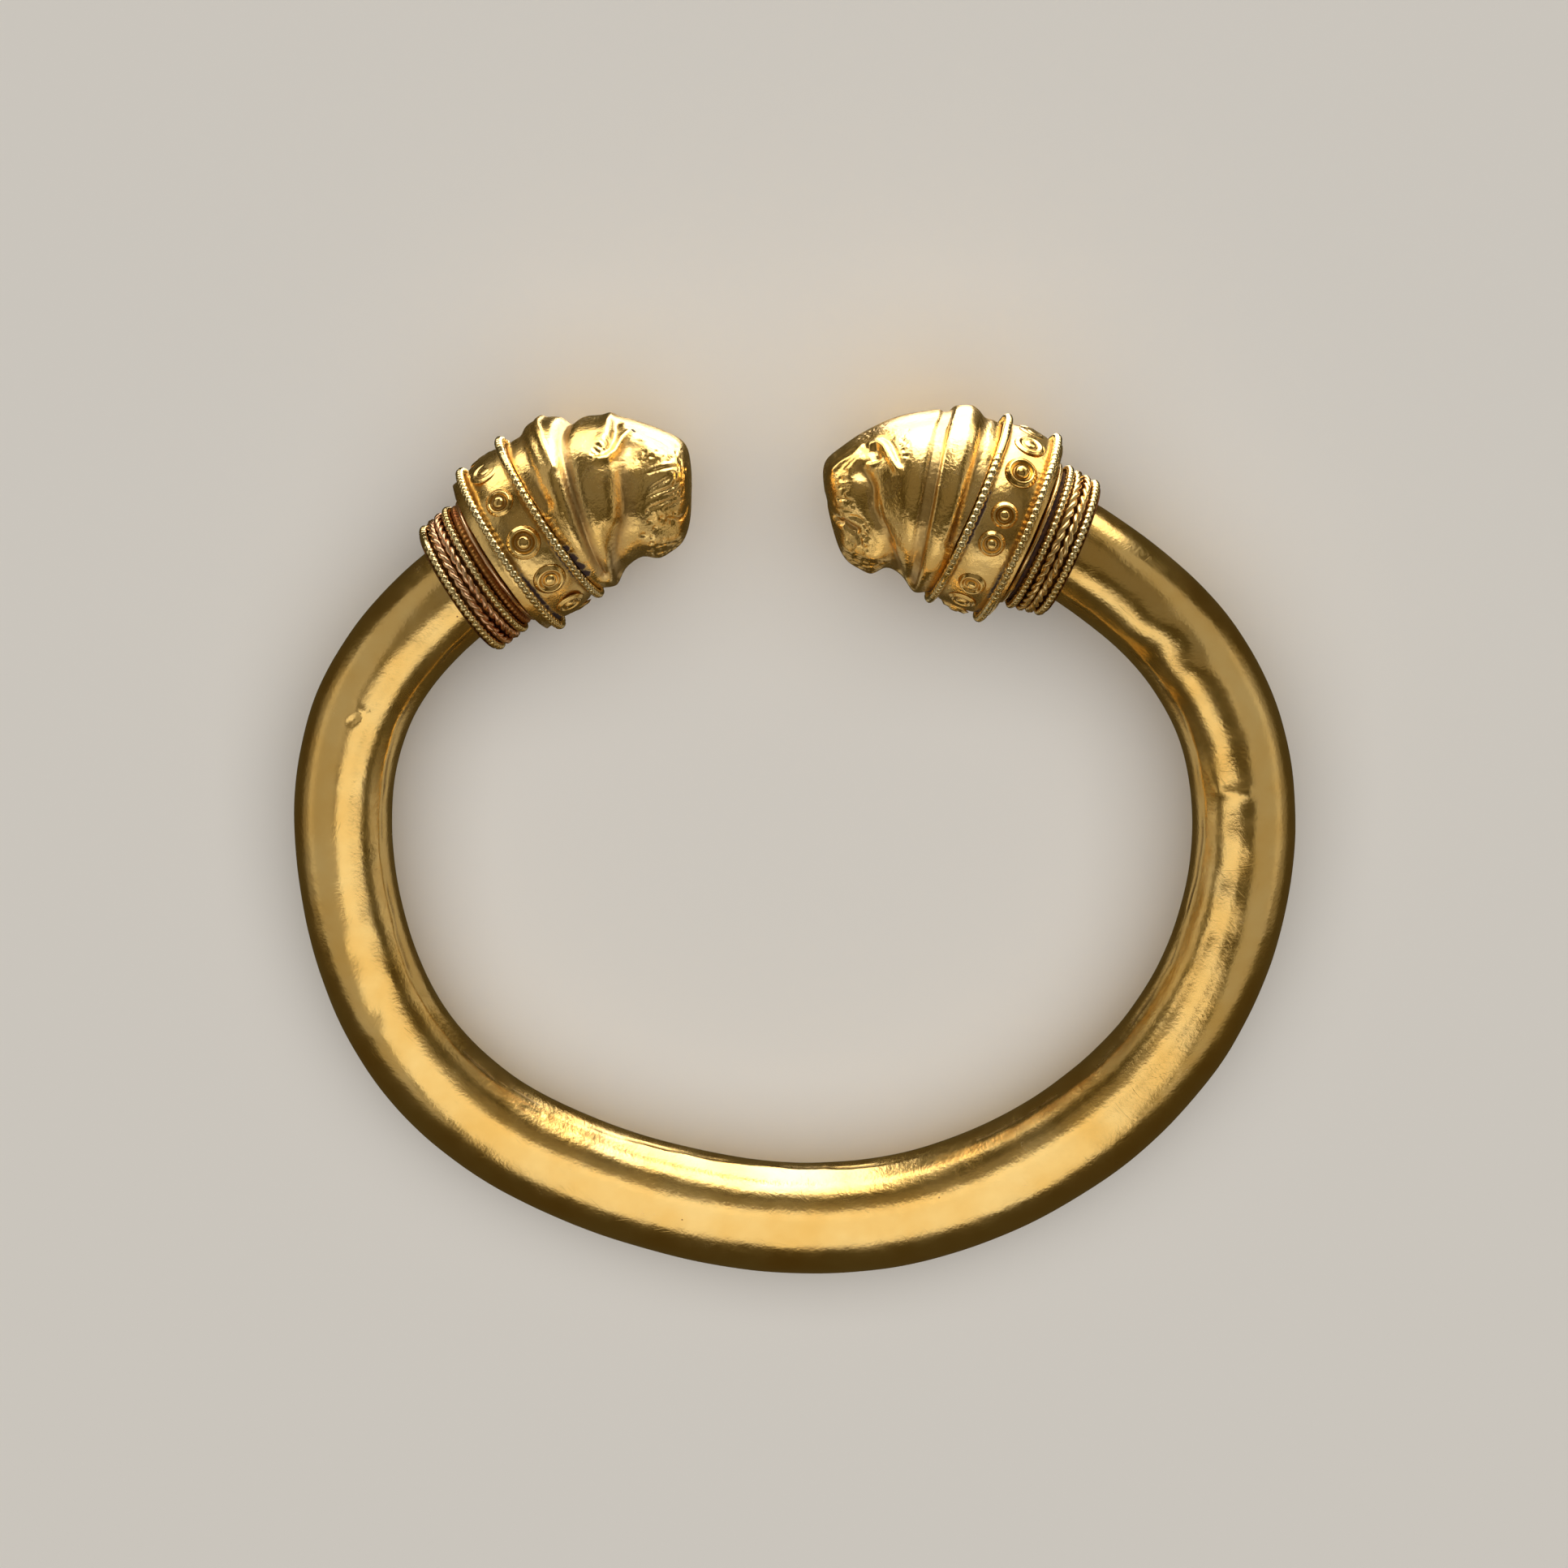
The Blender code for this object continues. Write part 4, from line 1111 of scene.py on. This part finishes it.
for seed, end in enumerate(ends):
    count, waver, sizes, heights = BOSSES[end.name]
    turns = np.array([FIRST_BOSS + 360 * number / count + waver[number % len(waver)]
                      for number in range(count)])
    seat = end.collar_ring - BEADED_WIRE + COLLAR_BULGE - PIECE_GAP
    middle = (end.back_wire + end.front_wire) / 2
    rng = np.random.default_rng(seed)
    size = np.append(sizes, rng.uniform(0.82, 0.96, count - len(sizes)))
    height = np.append(heights, rng.uniform(0.7, 0.95, count - len(heights)))
    size[-1], height[-1] = OUTLINE_BOSS
    feet = end.ring(middle, seat - BOSS_SINK * (1 - height), turns)
    base = path_mesh(feet, False, size=size, height=height)
    arrows = base.attributes.new("arrow", "FLOAT_VECTOR", "POINT")
    arrows.data.foreach_set("vector", (end.ring(middle, seat + 1, turns) - feet).astype(np.float32).ravel())
    mesh = grow(base, boss_tree, Boss=boss_form, Seed=seed + 5, Material=boss_gold)
    names = [f"{end.name}_ring_boss_{number + 1:02d}" for number in range(count)]
    lay(end.name + "_ring_bosses", mesh, "boss_gold", *names)
bpy.data.objects.remove(boss_form)

# %% [markdown]
# ## Heads
#
# Each head was raised from sheet over a core and finished with punches and a chasing tool:
# a mane roll, a channel, a full cheek, brow, eye, muzzle and chin. The big form is a spine
# that bends inwards, with a rounded section that changes along it. The carving is then drawn
# on that form as strokes, at places read off the animal's face in the photograph. The far
# side, which lies below, gets the same strokes mirrored, the fine ones shallower.

# %% The heads' form
HEAD_STATIONS = (0.0, 0.2, 0.42, 0.6, 0.8, 1.0)
SECTION_SQUARENESS = 2.2
MUZZLE_ROUND = 1.15
MUZZLE_BLUNTNESS = 0.6
MUZZLE_BLEND = 1.1
MUZZLE_PASSES = 140
MUZZLE_CAP_ANGLE = 87
HEAD_ROWS = 150
CAP_ROWS = 30
HEAD_SIDES = 360

# Reach above, below and beside the spine, as shares of the collar's ring
HEAD_FORM = {
    "left": ((0.913, 0.997, 0.864, 0.772, 0.625, 0.442), (0.948, 1.018, 0.871, 0.815, 0.864, 0.758),
             (0.913, 0.997, 0.927, 0.857, 0.702, 0.590)),
    "right": ((0.911, 0.977, 0.833, 0.729, 0.579, 0.404), (0.938, 0.990, 0.853, 0.794, 0.853, 0.749),
              (0.911, 0.964, 0.879, 0.801, 0.651, 0.547)),
}


def smooth(values, share):
    """Value at a share of the head's length, on a smooth curve through its stations."""
    stations = np.array(HEAD_STATIONS)
    values = np.array(values)
    slopes = np.empty(len(values))
    slopes[1:-1] = (values[2:] - values[:-2]) / (stations[2:] - stations[:-2])
    slopes[0] = (values[1] - values[0]) / (stations[1] - stations[0])
    slopes[-1] = (values[-1] - values[-2]) / (stations[-1] - stations[-2])
    index = np.clip(np.searchsorted(stations, share, side="left") - 1, 0, len(stations) - 2)
    width = stations[index + 1] - stations[index]
    part = (share - stations[index]) / width
    square, cube = part ** 2, part ** 3
    return (values[index] * (2 * cube - 3 * square + 1)
            + slopes[index] * width * (cube - 2 * square + part)
            + values[index + 1] * (3 * square - 2 * cube)
            + slopes[index + 1] * width * (cube - square))


class HeadSkin:
    """The smooth form of a head, and any point on it by millimetres along and degrees round."""

    def __init__(self, end):
        self.end = end
        start = end.collar_end + PIECE_GAP
        share = np.concatenate((np.linspace(0, 1, HEAD_ROWS), np.ones(CAP_ROWS)))
        cap = np.radians(np.linspace(0, MUZZLE_CAP_ANGLE, CAP_ROWS + 1)[1:])
        beyond = np.concatenate((np.zeros(HEAD_ROWS), MUZZLE_ROUND * np.sin(cap)))
        shrink = np.concatenate((np.ones(HEAD_ROWS), np.cos(cap) ** MUZZLE_BLUNTNESS))
        self.turns = np.linspace(-90, 270, HEAD_SIDES, endpoint=False)
        self.along = share * end.head_length + beyond
        top, under, beside = (smooth(form, share)[:, None] * end.collar_ring
                              for form in HEAD_FORM[end.name])
        turn = np.radians(self.turns)[None]
        tall = np.where(np.sin(turn) > 0, top, under)
        reach = (abs(np.cos(turn) / beside) ** SECTION_SQUARENESS
                 + abs(np.sin(turn) / tall) ** SECTION_SQUARENESS) ** (-1 / SECTION_SQUARENESS)
        reach = reach * shrink[:, None]
        radius = end.head_length / end.head_bend
        bend = (end.head_bend * share)[:, None]
        middle_along = radius * np.sin(bend) + beyond[:, None] * np.cos(bend)
        middle_out = -radius * (1 - np.cos(bend)) - beyond[:, None] * np.sin(bend)
        rise = reach * np.sin(turn)
        self.rows = end.place(start + middle_along + rise * np.sin(bend),
                              middle_out + rise * np.cos(bend), reach * np.cos(turn))
        near_muzzle = np.exp(-((self.along - end.head_length) / MUZZLE_BLEND) ** 2)[1:-1, None, None]
        for _ in range(MUZZLE_PASSES):
            between = (self.rows[:-2] + self.rows[2:]) / 2
            self.rows[1:-1] += (between - self.rows[1:-1]) * 0.5 * near_muzzle

    def __call__(self, along, turn):
        """Points on the skin, between the rows and columns of its net."""
        row = np.interp(along, self.along, np.arange(len(self.along)))
        column = ((np.asarray(turn) + 90) % 360) / 360 * HEAD_SIDES
        row_low = np.minimum(row.astype(int), len(self.along) - 2)
        column_low = column.astype(int) % HEAD_SIDES
        row_part = (row - row_low)[:, None]
        column_part = (column - column.astype(int))[:, None]
        column_high = (column_low + 1) % HEAD_SIDES
        near = self.rows[row_low, column_low] * (1 - column_part)
        near = near + self.rows[row_low, column_high] * column_part
        far = self.rows[row_low + 1, column_low] * (1 - column_part)
        far = far + self.rows[row_low + 1, column_high] * column_part
        return near * (1 - row_part) + far * row_part

    def normals(self):
        """Unit arrows out of the skin, at every point of its net."""
        down = np.gradient(self.rows, axis=0)
        around = np.roll(self.rows, -1, axis=1) - np.roll(self.rows, 1, axis=1)
        arrows = np.cross(down, around)
        arrows /= np.maximum(np.linalg.norm(arrows, axis=2, keepdims=True), 1e-9)
        middle = self.rows.mean(axis=1, keepdims=True)
        if np.sum(arrows * (self.rows - middle)) < 0:
            arrows = -arrows
        return arrows


# %% Strokes on the left head
LEFT_MAIN = [
    # rise, width, then millimetres from the collar and degrees from the flank to the forehead
    (-0.60, 0.62, ((4.2, 90), (3.6, 57), (3.3, 40), (3.05, 22), (2.8, 7), (2.5, -9), (2.0, -33),
                   (1.7, -55))),
    (-0.26, 0.60, ((0.9, 90), (1.0, 60), (0.9, 35), (0.7, 10))),
    (0.24, 0.32, ((2.5, 90), (2.2, 72), (2.25, 57), (2.3, 40), (2.35, 28))),
    (0.12, 0.70, ((2.2, 24), (1.9, 8), (1.6, -10), (1.1, -33))),
    (-0.42, 0.85, ((7.6, 36), (7.1, 22), (6.8, 14), (6.6, 1), (6.4, -12), (5.9, -25), (4.8, -38),
                   (3.6, -55), (3.2, -80))),
    (0.24, 1.05, ((5.0, 26), (4.6, 5), (4.4, -14))),
    (0.22, 0.45, ((6.3, 90), (6.35, 78), (6.2, 64), (6.0, 46), (5.6, 38))),
    (-0.24, 0.36, ((6.75, 66), (6.7, 52), (6.5, 40), (6.2, 33))),
    (0.20, 0.28, ((5.1, 24), (5.8, 24), (6.4, 31), (6.9, 41), (7.4, 51))),
    (-0.10, 0.40, ((6.2, 21), (6.9, 28), (7.4, 36))),
    (0.24, 0.85, ((8.4, 36), (9.4, 24), (9.8, 6))),
    (0.24, 1.0, ((9.2, -6), (9.0, -22))),
    (-0.20, 0.24, ((11.3, -46), (10.6, -42), (9.6, -36))),
    (0.26, 0.80, ((8.2, -50), (9.4, -56), (10.3, -58))),
]
# Finer strokes, most of them tapered to their ends
LEFT_FINE = [
    (-0.08, 0.12, ((2.45, 56), (2.5, 39), (2.4, 24)), "tapered"),
    (-0.14, 0.22, ((5.1, 29), (5.5, 28), (5.9, 30), (6.25, 34)), "tapered"),
    (-0.08, 0.10, ((5.9, 43), (6.15, 38)), "tapered"),
    (-0.08, 0.10, ((5.5, 40), (5.85, 34)), "tapered"),
    (-0.08, 0.10, ((5.2, 37), (5.65, 31)), "tapered"),
    (-0.07, 0.10, ((5.0, 33), (5.4, 28)), "tapered"),
    (-0.04, 0.10, ((6.0, 22), (7.2, 22)), "tapered"),
    (-0.15, 0.26, ((8.3, 51), (8.9, 50), (9.4, 48), (10.0, 40)), "tapered"),
    (-0.07, 0.12, ((7.8, 43), (8.6, 38)), "tapered"),
    (-0.07, 0.12, ((9.2, 36), (10.3, 32)), "tapered"),
    (-0.09, 0.12, ((8.2, 9), (9.1, 12), (10.6, 16)), "tapered"),
    (0.06, 0.12, ((8.4, 13), (9.3, 16), (10.5, 20)), "tapered"),
    (-0.18, 0.16, ((8.2, -6), (9.3, 1), (9.9, 5)), "tapered"),
    (-0.18, 0.16, ((7.9, -12), (8.8, -9), (9.7, -7), (10.7, -1)), "tapered"),
    (-0.16, 0.15, ((7.9, -21), (8.5, -20), (9.6, -18), (10.8, -16)), "tapered"),
    (-0.13, 0.14, ((9.2, -24), (10.3, -22), (11.0, -22)), "tapered"),
    (-0.12, 0.14, ((9.0, -13), (10.0, -12), (10.8, -8)), "tapered"),
    (-0.09, 0.15, ((10.75, 28), (10.9, 12), (10.85, -4)), "tapered"),
    (0.08, 0.15, ((8.5, -24), (8.6, -34), (9.0, -37), (9.3, -31), (9.0, -25)), "tapered"),
    (-0.19, 0.17, ((9.0, -33),)),
    (-0.18, 0.15, ((7.9, -23),)),
    (-0.18, 0.15, ((7.9, -31),)),
    (-0.18, 0.15, ((8.3, -39),)),
    (-0.15, 0.16, ((6.95, -40), (7.2, -41))),
    (-0.11, 0.13, ((7.8, -45),)),
    (-0.15, 0.15, ((7.7, -50),)),
    (-0.12, 0.14, ((9.9, -41),)),
    (-0.12, 0.14, ((8.8, -52),)),
    (-0.11, 0.13, ((10.2, -32),)),
]
print("left head:", len(LEFT_MAIN), "main strokes,", len(LEFT_FINE), "fine ones")

# %% Strokes on the right head
RIGHT_MAIN = [
    (-0.36, 0.55, ((3.1, 90), (3.25, 69), (3.45, 50), (3.5, 32), (3.5, 9), (3.4, -12), (3.2, -43),
                   (3.0, -70)), "flat"),
    (-0.26, 0.60, ((0.9, 90), (1.0, 60), (0.8, 30), (0.6, 0), (0.4, -20))),
    (0.16, 0.75, ((2.1, 90), (2.0, 60), (1.8, 22), (1.4, -7), (1.2, -40))),
    (0.20, 1.0, ((5.0, 34), (4.9, 12), (4.7, -12), (4.5, -34))),
    (-0.36, 0.55, ((8.4, 22), (8.0, 15), (7.7, 6), (7.7, -12), (7.3, -21), (6.8, -27), (6.1, -41),
                   (5.2, -58), (4.6, -80))),
    (0.27, 0.34, ((7.5, 46), (7.1, 46), (6.75, 40), (6.5, 33), (6.2, 25), (5.8, 18))),
    (-0.20, 0.22, ((7.0, 52), (6.5, 46), (6.25, 39), (6.0, 31), (5.75, 24), (5.35, 20)), "tapered"),
    (-0.22, 0.42, ((7.3, 37), (7.25, 31))),
    (0.12, 0.18, ((8.0, 27), (7.6, 25), (7.3, 26), (6.9, 28)), "tapered"),
    (0.26, 0.60, ((8.45, 33), (8.9, 26))),
    (0.18, 0.30, ((10.2, 34), (9.6, 38), (8.7, 41), (8.2, 48))),
    (0.22, 1.0, ((9.2, 8), (9.4, -8))),
    (-0.42, 0.28, ((11.2, -32), (10.2, -27), (9.6, -31), (9.2, -33))),
    (0.30, 0.75, ((7.6, -52), (9.0, -52), (10.2, -52))),
    (0.14, 0.38, ((8.2, -40), (8.9, -44))),
]
RIGHT_FINE = [
    (-0.16, 0.16, ((7.15, 31), (7.25, 30))),
    (-0.09, 0.11, ((5.9, 38), (5.5, 36)), "tapered"),
    (-0.09, 0.11, ((5.6, 33), (5.3, 31)), "tapered"),
    (-0.09, 0.11, ((5.5, 28), (5.1, 27)), "tapered"),
    (-0.10, 0.13, ((6.2, 47),)),
    (-0.10, 0.13, ((5.6, 42),)),
    (-0.08, 0.11, ((5.3, 39),)),
    (-0.12, 0.17, ((7.1, -4), (6.9, -21), (6.4, -29), (5.6, -36)), "tapered"),
    (-0.10, 0.13, ((9.8, 19),)),
    (0.06, 0.11, ((10.2, 14), (9.6, 13), (8.9, 12)), "tapered"),
    (-0.08, 0.11, ((10.2, 10), (9.6, 10), (8.9, 9)), "tapered"),
    (-0.08, 0.11, ((9.7, 6), (9.3, 6)), "tapered"),
    (-0.16, 0.15, ((10.4, -2), (9.8, -2), (9.1, -6)), "tapered"),
    (-0.11, 0.13, ((9.1, -10),)),
    (-0.07, 0.10, ((10.4, -13), (9.7, -14), (9.0, -16)), "tapered"),
    (-0.19, 0.17, ((9.7, -20), (9.0, -21), (8.4, -25)), "tapered"),
    (-0.13, 0.14, ((8.4, -28),)),
    (-0.13, 0.14, ((8.1, -31),)),
    (-0.13, 0.15, ((8.4, -36),)),
    (-0.10, 0.13, ((8.9, -66), (7.4, -65), (5.8, -60)), "tapered"),
    (0.08, 0.14, ((8.6, -40), (8.3, -44), (8.0, -41)), "tapered"),
    (-0.09, 0.13, ((8.9, -38), (8.6, -46)), "tapered"),
]
print("right head:", len(RIGHT_MAIN), "main strokes,", len(RIGHT_FINE), "fine ones")

# %% [markdown]
# ## Punch marks
#
# Punch marks are too small and too many to place by hand. A seeded scatter fills a patch of
# the skin with short strokes: the stippled chin, the hair dots by the whiskers and the row of
# nicks on the bridge of the nose.

# %% Scatter punch marks


def punched(seed, count, along, turn, rise, width, run=(0.0, 0.0)):
    """Short strokes at seeded places inside a patch of a skin."""
    rng = np.random.default_rng(seed)
    marks = []
    for _ in range(count):
        start = np.array((rng.uniform(*along), rng.uniform(*turn)))
        stop = start + np.array(run) * rng.uniform(0.6, 1.2)
        depth = rise * rng.uniform(0.6, 1.2)
        marks.append((depth, width * rng.uniform(0.8, 1.2), (tuple(start), tuple(stop))))
    return marks


LEFT_PUNCHED = (
    punched(1, 46, (6.8, 11.0), (-84, -56), -0.06, 0.12, (0.45, -1.0))
    + punched(2, 20, (7.8, 10.2), (19, 30), -0.055, 0.12)
    + punched(3, 10, (4.6, 5.2), (24, 34), -0.045, 0.11, (0.25, -1.5))
    + punched(4, 16, (10.0, 11.2), (-20, 45), -0.05, 0.11, (0.0, 4.0))
    + punched(5, 14, (6.9, 8.4), (50, 70), -0.04, 0.13)
)
RIGHT_PUNCHED = (
    punched(6, 50, (6.4, 11.0), (-84, -54), -0.07, 0.13, (0.5, -1.0))
    + punched(7, 34, (6.6, 11.0), (58, 78), -0.055, 0.11)
    + punched(8, 16, (4.9, 6.2), (26, 52), -0.05, 0.11)
    + punched(9, 22, (9.0, 11.0), (-50, 30), -0.045, 0.11, (0.0, 3.0))
    + punched(10, 14, (8.0, 9.4), (-52, -38), 0.06, 0.15)
)
FOREHEAD = 90
print("punch marks:", len(LEFT_PUNCHED), "on the left head,", len(RIGHT_PUNCHED), "on the right")


def far_side(strokes, share):
    """The same strokes on the far flank; those that reach the forehead run on across it."""
    both = []
    for rise, width, spots, *manner in strokes:
        beyond = tuple((along, 2 * FOREHEAD - turn) for along, turn in spots)
        if spots[0][1] == FOREHEAD:
            both.append((rise, width, beyond[:0:-1] + spots, *manner))
        else:
            both += [(rise, width, spots, *manner), (rise * share, width, beyond, *manner)]
    return both


# %% Carve the two heads
HEAD_HOLLOW_FULL = 0.55
HEAD_UNEVENNESS = 0.07
HEAD_WAVE_SIZE = 2.6
# Painted shade on the head where it meets the front wire, in the film colour: how strong, how far
HEAD_WIRE_SHADE = 0.55
HEAD_WIRE_SHADE_REACH = 0.45
# The far flank gets the main strokes in full and the fine ones at part of their depth
CARVING = {
    "left": far_side(LEFT_MAIN, 1.0) + far_side(LEFT_FINE, 0.6) + LEFT_PUNCHED,
    "right": far_side(RIGHT_MAIN, 1.0) + far_side(RIGHT_FINE, 0.6) + RIGHT_PUNCHED,
}
# Dark soil left behind the front wire and in the brow: millimetres along, degrees, radius
SOIL_SPOTS = {
    "left": ((0.1, -22, 0.35), (0.1, -30, 0.55), (0.15, -38, 0.6), (0.15, -46, 0.55), (7.7, 54, 0.25)),
    "right": ((0.1, -75, 0.5),),
}

for end in ends:
    skin = HeadSkin(end)
    net = skin.rows.reshape(-1, 3)
    arrows = skin.normals().reshape(-1, 3)
    carved, hollow = carve(net, arrows, skin, CARVING[end.name])
    carved = uneven(carved, arrows, HEAD_UNEVENNESS, HEAD_WAVE_SIZE)
    soil = np.zeros(len(net))
    for along, turn, radius in SOIL_SPOTS[end.name]:
        away = np.linalg.norm(net - skin(np.array([along]), np.array([turn])), axis=1)
        soil = np.maximum(soil, np.exp(-(away / radius) ** 2))
    # Painted shade in a band round the head next to the front wire
    shade_by_wire = np.exp(-(np.repeat(skin.along, HEAD_SIDES) / HEAD_WIRE_SHADE_REACH) ** 2)
    hollow = np.maximum(np.clip(hollow / HEAD_HOLLOW_FULL, 0, 1), HEAD_WIRE_SHADE * shade_by_wire)
    shape = skin.rows.shape
    mesh = skin_mesh(end.name + "_head", carved.reshape(shape), chased_heads,
                     hollow=hollow.reshape(shape[:2]), soil=soil.reshape(shape[:2]))
    lay(end.name + "_head_of_chased_sheet", mesh, "head_gold", end.name + "_head")

# %% [markdown]
# ## Floor and light
#
# The bracelet lies on a plain pale floor. Polished gold shows nothing but what stands round
# it, so jewellery is lit with things close to it, and the dark gaps between them draw the
# form. Here one big soft box starts low and narrow over the middle of the bracelet, and away
# from the heads it rises and widens like a fan. It is put together from strips. Cards hang at
# either side, close and far off, and two low ones show in the hoop's inner sides. Lights
# behind the heads give the hoop's inner edge and the heads their white rims, and one card
# lights only heads, collars and bosses. The floor has a light of its own, and gold and floor
# don't light each other, so the gold keeps the dark edges that it has in a dark studio.

# %% Floor
FLOOR_HALF = 5.0
floor_mesh = bpy.data.meshes.new("floor")
floor_mesh.from_pydata([(-FLOOR_HALF, -FLOOR_HALF, 0), (FLOOR_HALF, -FLOOR_HALF, 0),
                        (FLOOR_HALF, FLOOR_HALF, 0), (-FLOOR_HALF, FLOOR_HALF, 0)], [], [(0, 1, 2, 3)])
floor = bpy.data.objects.new("floor", floor_mesh)
bpy.context.scene.collection.objects.link(floor)
paper = bpy.data.materials.new("pale_matt_paper")
paper.use_nodes = True
paper_shader = paper.node_tree.nodes["Principled BSDF"]
paper_shader.inputs["Base Color"].default_value = hex_colour("#DEDAD4")
paper_shader.inputs["Roughness"].default_value = 0.9
paper_shader.inputs["Specular IOR Level"].default_value = 0.0
floor_mesh.materials.append(paper)
floor.visible_glossy = False
floor.visible_shadow = False

# %% A soft box
# Plain colour management keeps the gold's own yellow, which a filmic curve would bleach
bpy.context.scene.view_settings.view_transform = "Standard"


def soft_box(name, place, aim, width, depth, radiance, colour="#FFFFFF", for_floor=False):
    """A rectangular light at a place in mm, facing another; its width lies level."""
    lamp = bpy.data.lights.new(name, "AREA")
    lamp.shape = "RECTANGLE"
    lamp.size = width * MM
    lamp.size_y = depth * MM
    lamp.color = hex_colour(colour)[:3]
    lamp.energy = radiance * math.pi * lamp.size * lamp.size_y
    made = bpy.data.objects.new(name, lamp)
    bpy.context.scene.collection.objects.link(made)
    made.location = Vector(place) * MM
    made.rotation_euler = (Vector(place) - Vector(aim)).to_track_quat("Z", "Y").to_euler()
    made.visible_camera = False
    made.visible_glossy = not for_floor
    made.visible_diffuse = for_floor
    return made


# %% The big soft box over the hoop
# Its outline: how far along, then its left and its right edge
SOFT_BOX_EDGES = ((-300, -170, 195), (-200, -119, 147), (-80, -62, 67), (-40, -63, 49), (-14, -46, 26),
                  (-6, -44, -8), (8, -42, -28))
SOFT_BOX_SLOPE = 0.6
SOFT_BOX_HEIGHT = 52
SOFT_BOX_STRIP = 14
edge_along, edge_left, edge_right = np.array(SOFT_BOX_EDGES).T
for along in np.arange(edge_along[-1] - SOFT_BOX_STRIP / 2, edge_along[0], -SOFT_BOX_STRIP):
    left_edge = np.interp(along, edge_along, edge_left)
    right_edge = np.interp(along, edge_along, edge_right)
    height = SOFT_BOX_HEIGHT - SOFT_BOX_SLOPE * along
    middle = Vector(((left_edge + right_edge) / 2, along, height))
    soft_box(f"soft_box_strip_{-along:.0f}", middle, middle - Vector((0, SOFT_BOX_SLOPE, 1)),
             right_edge - left_edge, SOFT_BOX_STRIP * math.hypot(1, SOFT_BOX_SLOPE), 0.96, "#FFFBF2")
print("strips in the big soft box:", len(bpy.data.lights))

# %% Cards at the sides and lights behind the heads
for side, name in ((-1, "left"), (1, "right")):
    soft_box("card_" + name, (side * 163, 15, 33), (side * 163, 15, 0), 240, 125, 0.34, "#FFFBF0")
    soft_box("far_card_" + name, (side * 300, 10, 30), (0, 10, 6), 240, 150, 0.16, "#FFF6E4")
    soft_box("low_card_" + name, (side * 20, -11, -20), (0, -11, -20), 40, 38, 0.34, "#FFFBF0")
soft_box("light_behind_the_heads", (12, 84, 33), (12, 0, 33), 50, 58, 3.4, "#FFFDF6")
soft_box("card_close_behind_the_heads", (0, 58, 12), (0, 0, 12), 110, 21, 2.6, "#FFFDF6")
soft_box("low_light_behind_the_heads", (13, 84, -46), (13, 0, -46), 50, 100, 3.8, "#FFFDFA")
soft_box("dim_card_overhead", (0, 60, 150), (0, 60, 0), 220, 130, 0.13, "#FFF6E4")

# %% A card for heads, collars and bosses alone
card_for_the_heads = soft_box("card_for_the_heads", (0, -135, 55), (0, 30, 8), 400, 140, 0.40, "#FFF8EA")
lit = bpy.data.collections.new("lit_by_the_card_for_the_heads")
for piece in list(bpy.context.scene.objects):
    if piece.name.endswith(("_head_of_chased_sheet", "_collar_sheet", "_ring_bosses")):
        lit.objects.link(piece)
card_for_the_heads.light_linking.receiver_collection = lit

# %% A light for the floor alone
soft_box("light_for_the_floor", (0, 0, 6000), (0, 0, 0), 12000, 12000, 1.35, for_floor=True)
print("lights in all:", len(bpy.data.lights))

# %% The room round it
# The gold mirrors a dim warm room, and the camera sees a pale wall past the floor's end
world = bpy.data.worlds.new("studio")
bpy.context.scene.world = world
world.use_nodes = True
background = world.node_tree.nodes["Background"]
looking = add(world.node_tree, "ShaderNodeLightPath")
glow = add(world.node_tree, "ShaderNodeMix", {0: looking.outputs["Is Camera Ray"],
                                              6: hex_colour("#463D24"), 7: hex_colour("#D9D6D1")},
           data_type="RGBA")
world.node_tree.links.new(glow.outputs[2], background.inputs["Color"])
background.inputs["Strength"].default_value = 1.0

# %% [markdown]
# ## The solids' size
#
# Every solid must be hidden behind its finished piece. The size of the solids' box is printed last.

# %% Print the solids' size
print("solids' box in mm:", [round(side / MM, 2) for side in cad_high - cad_low])
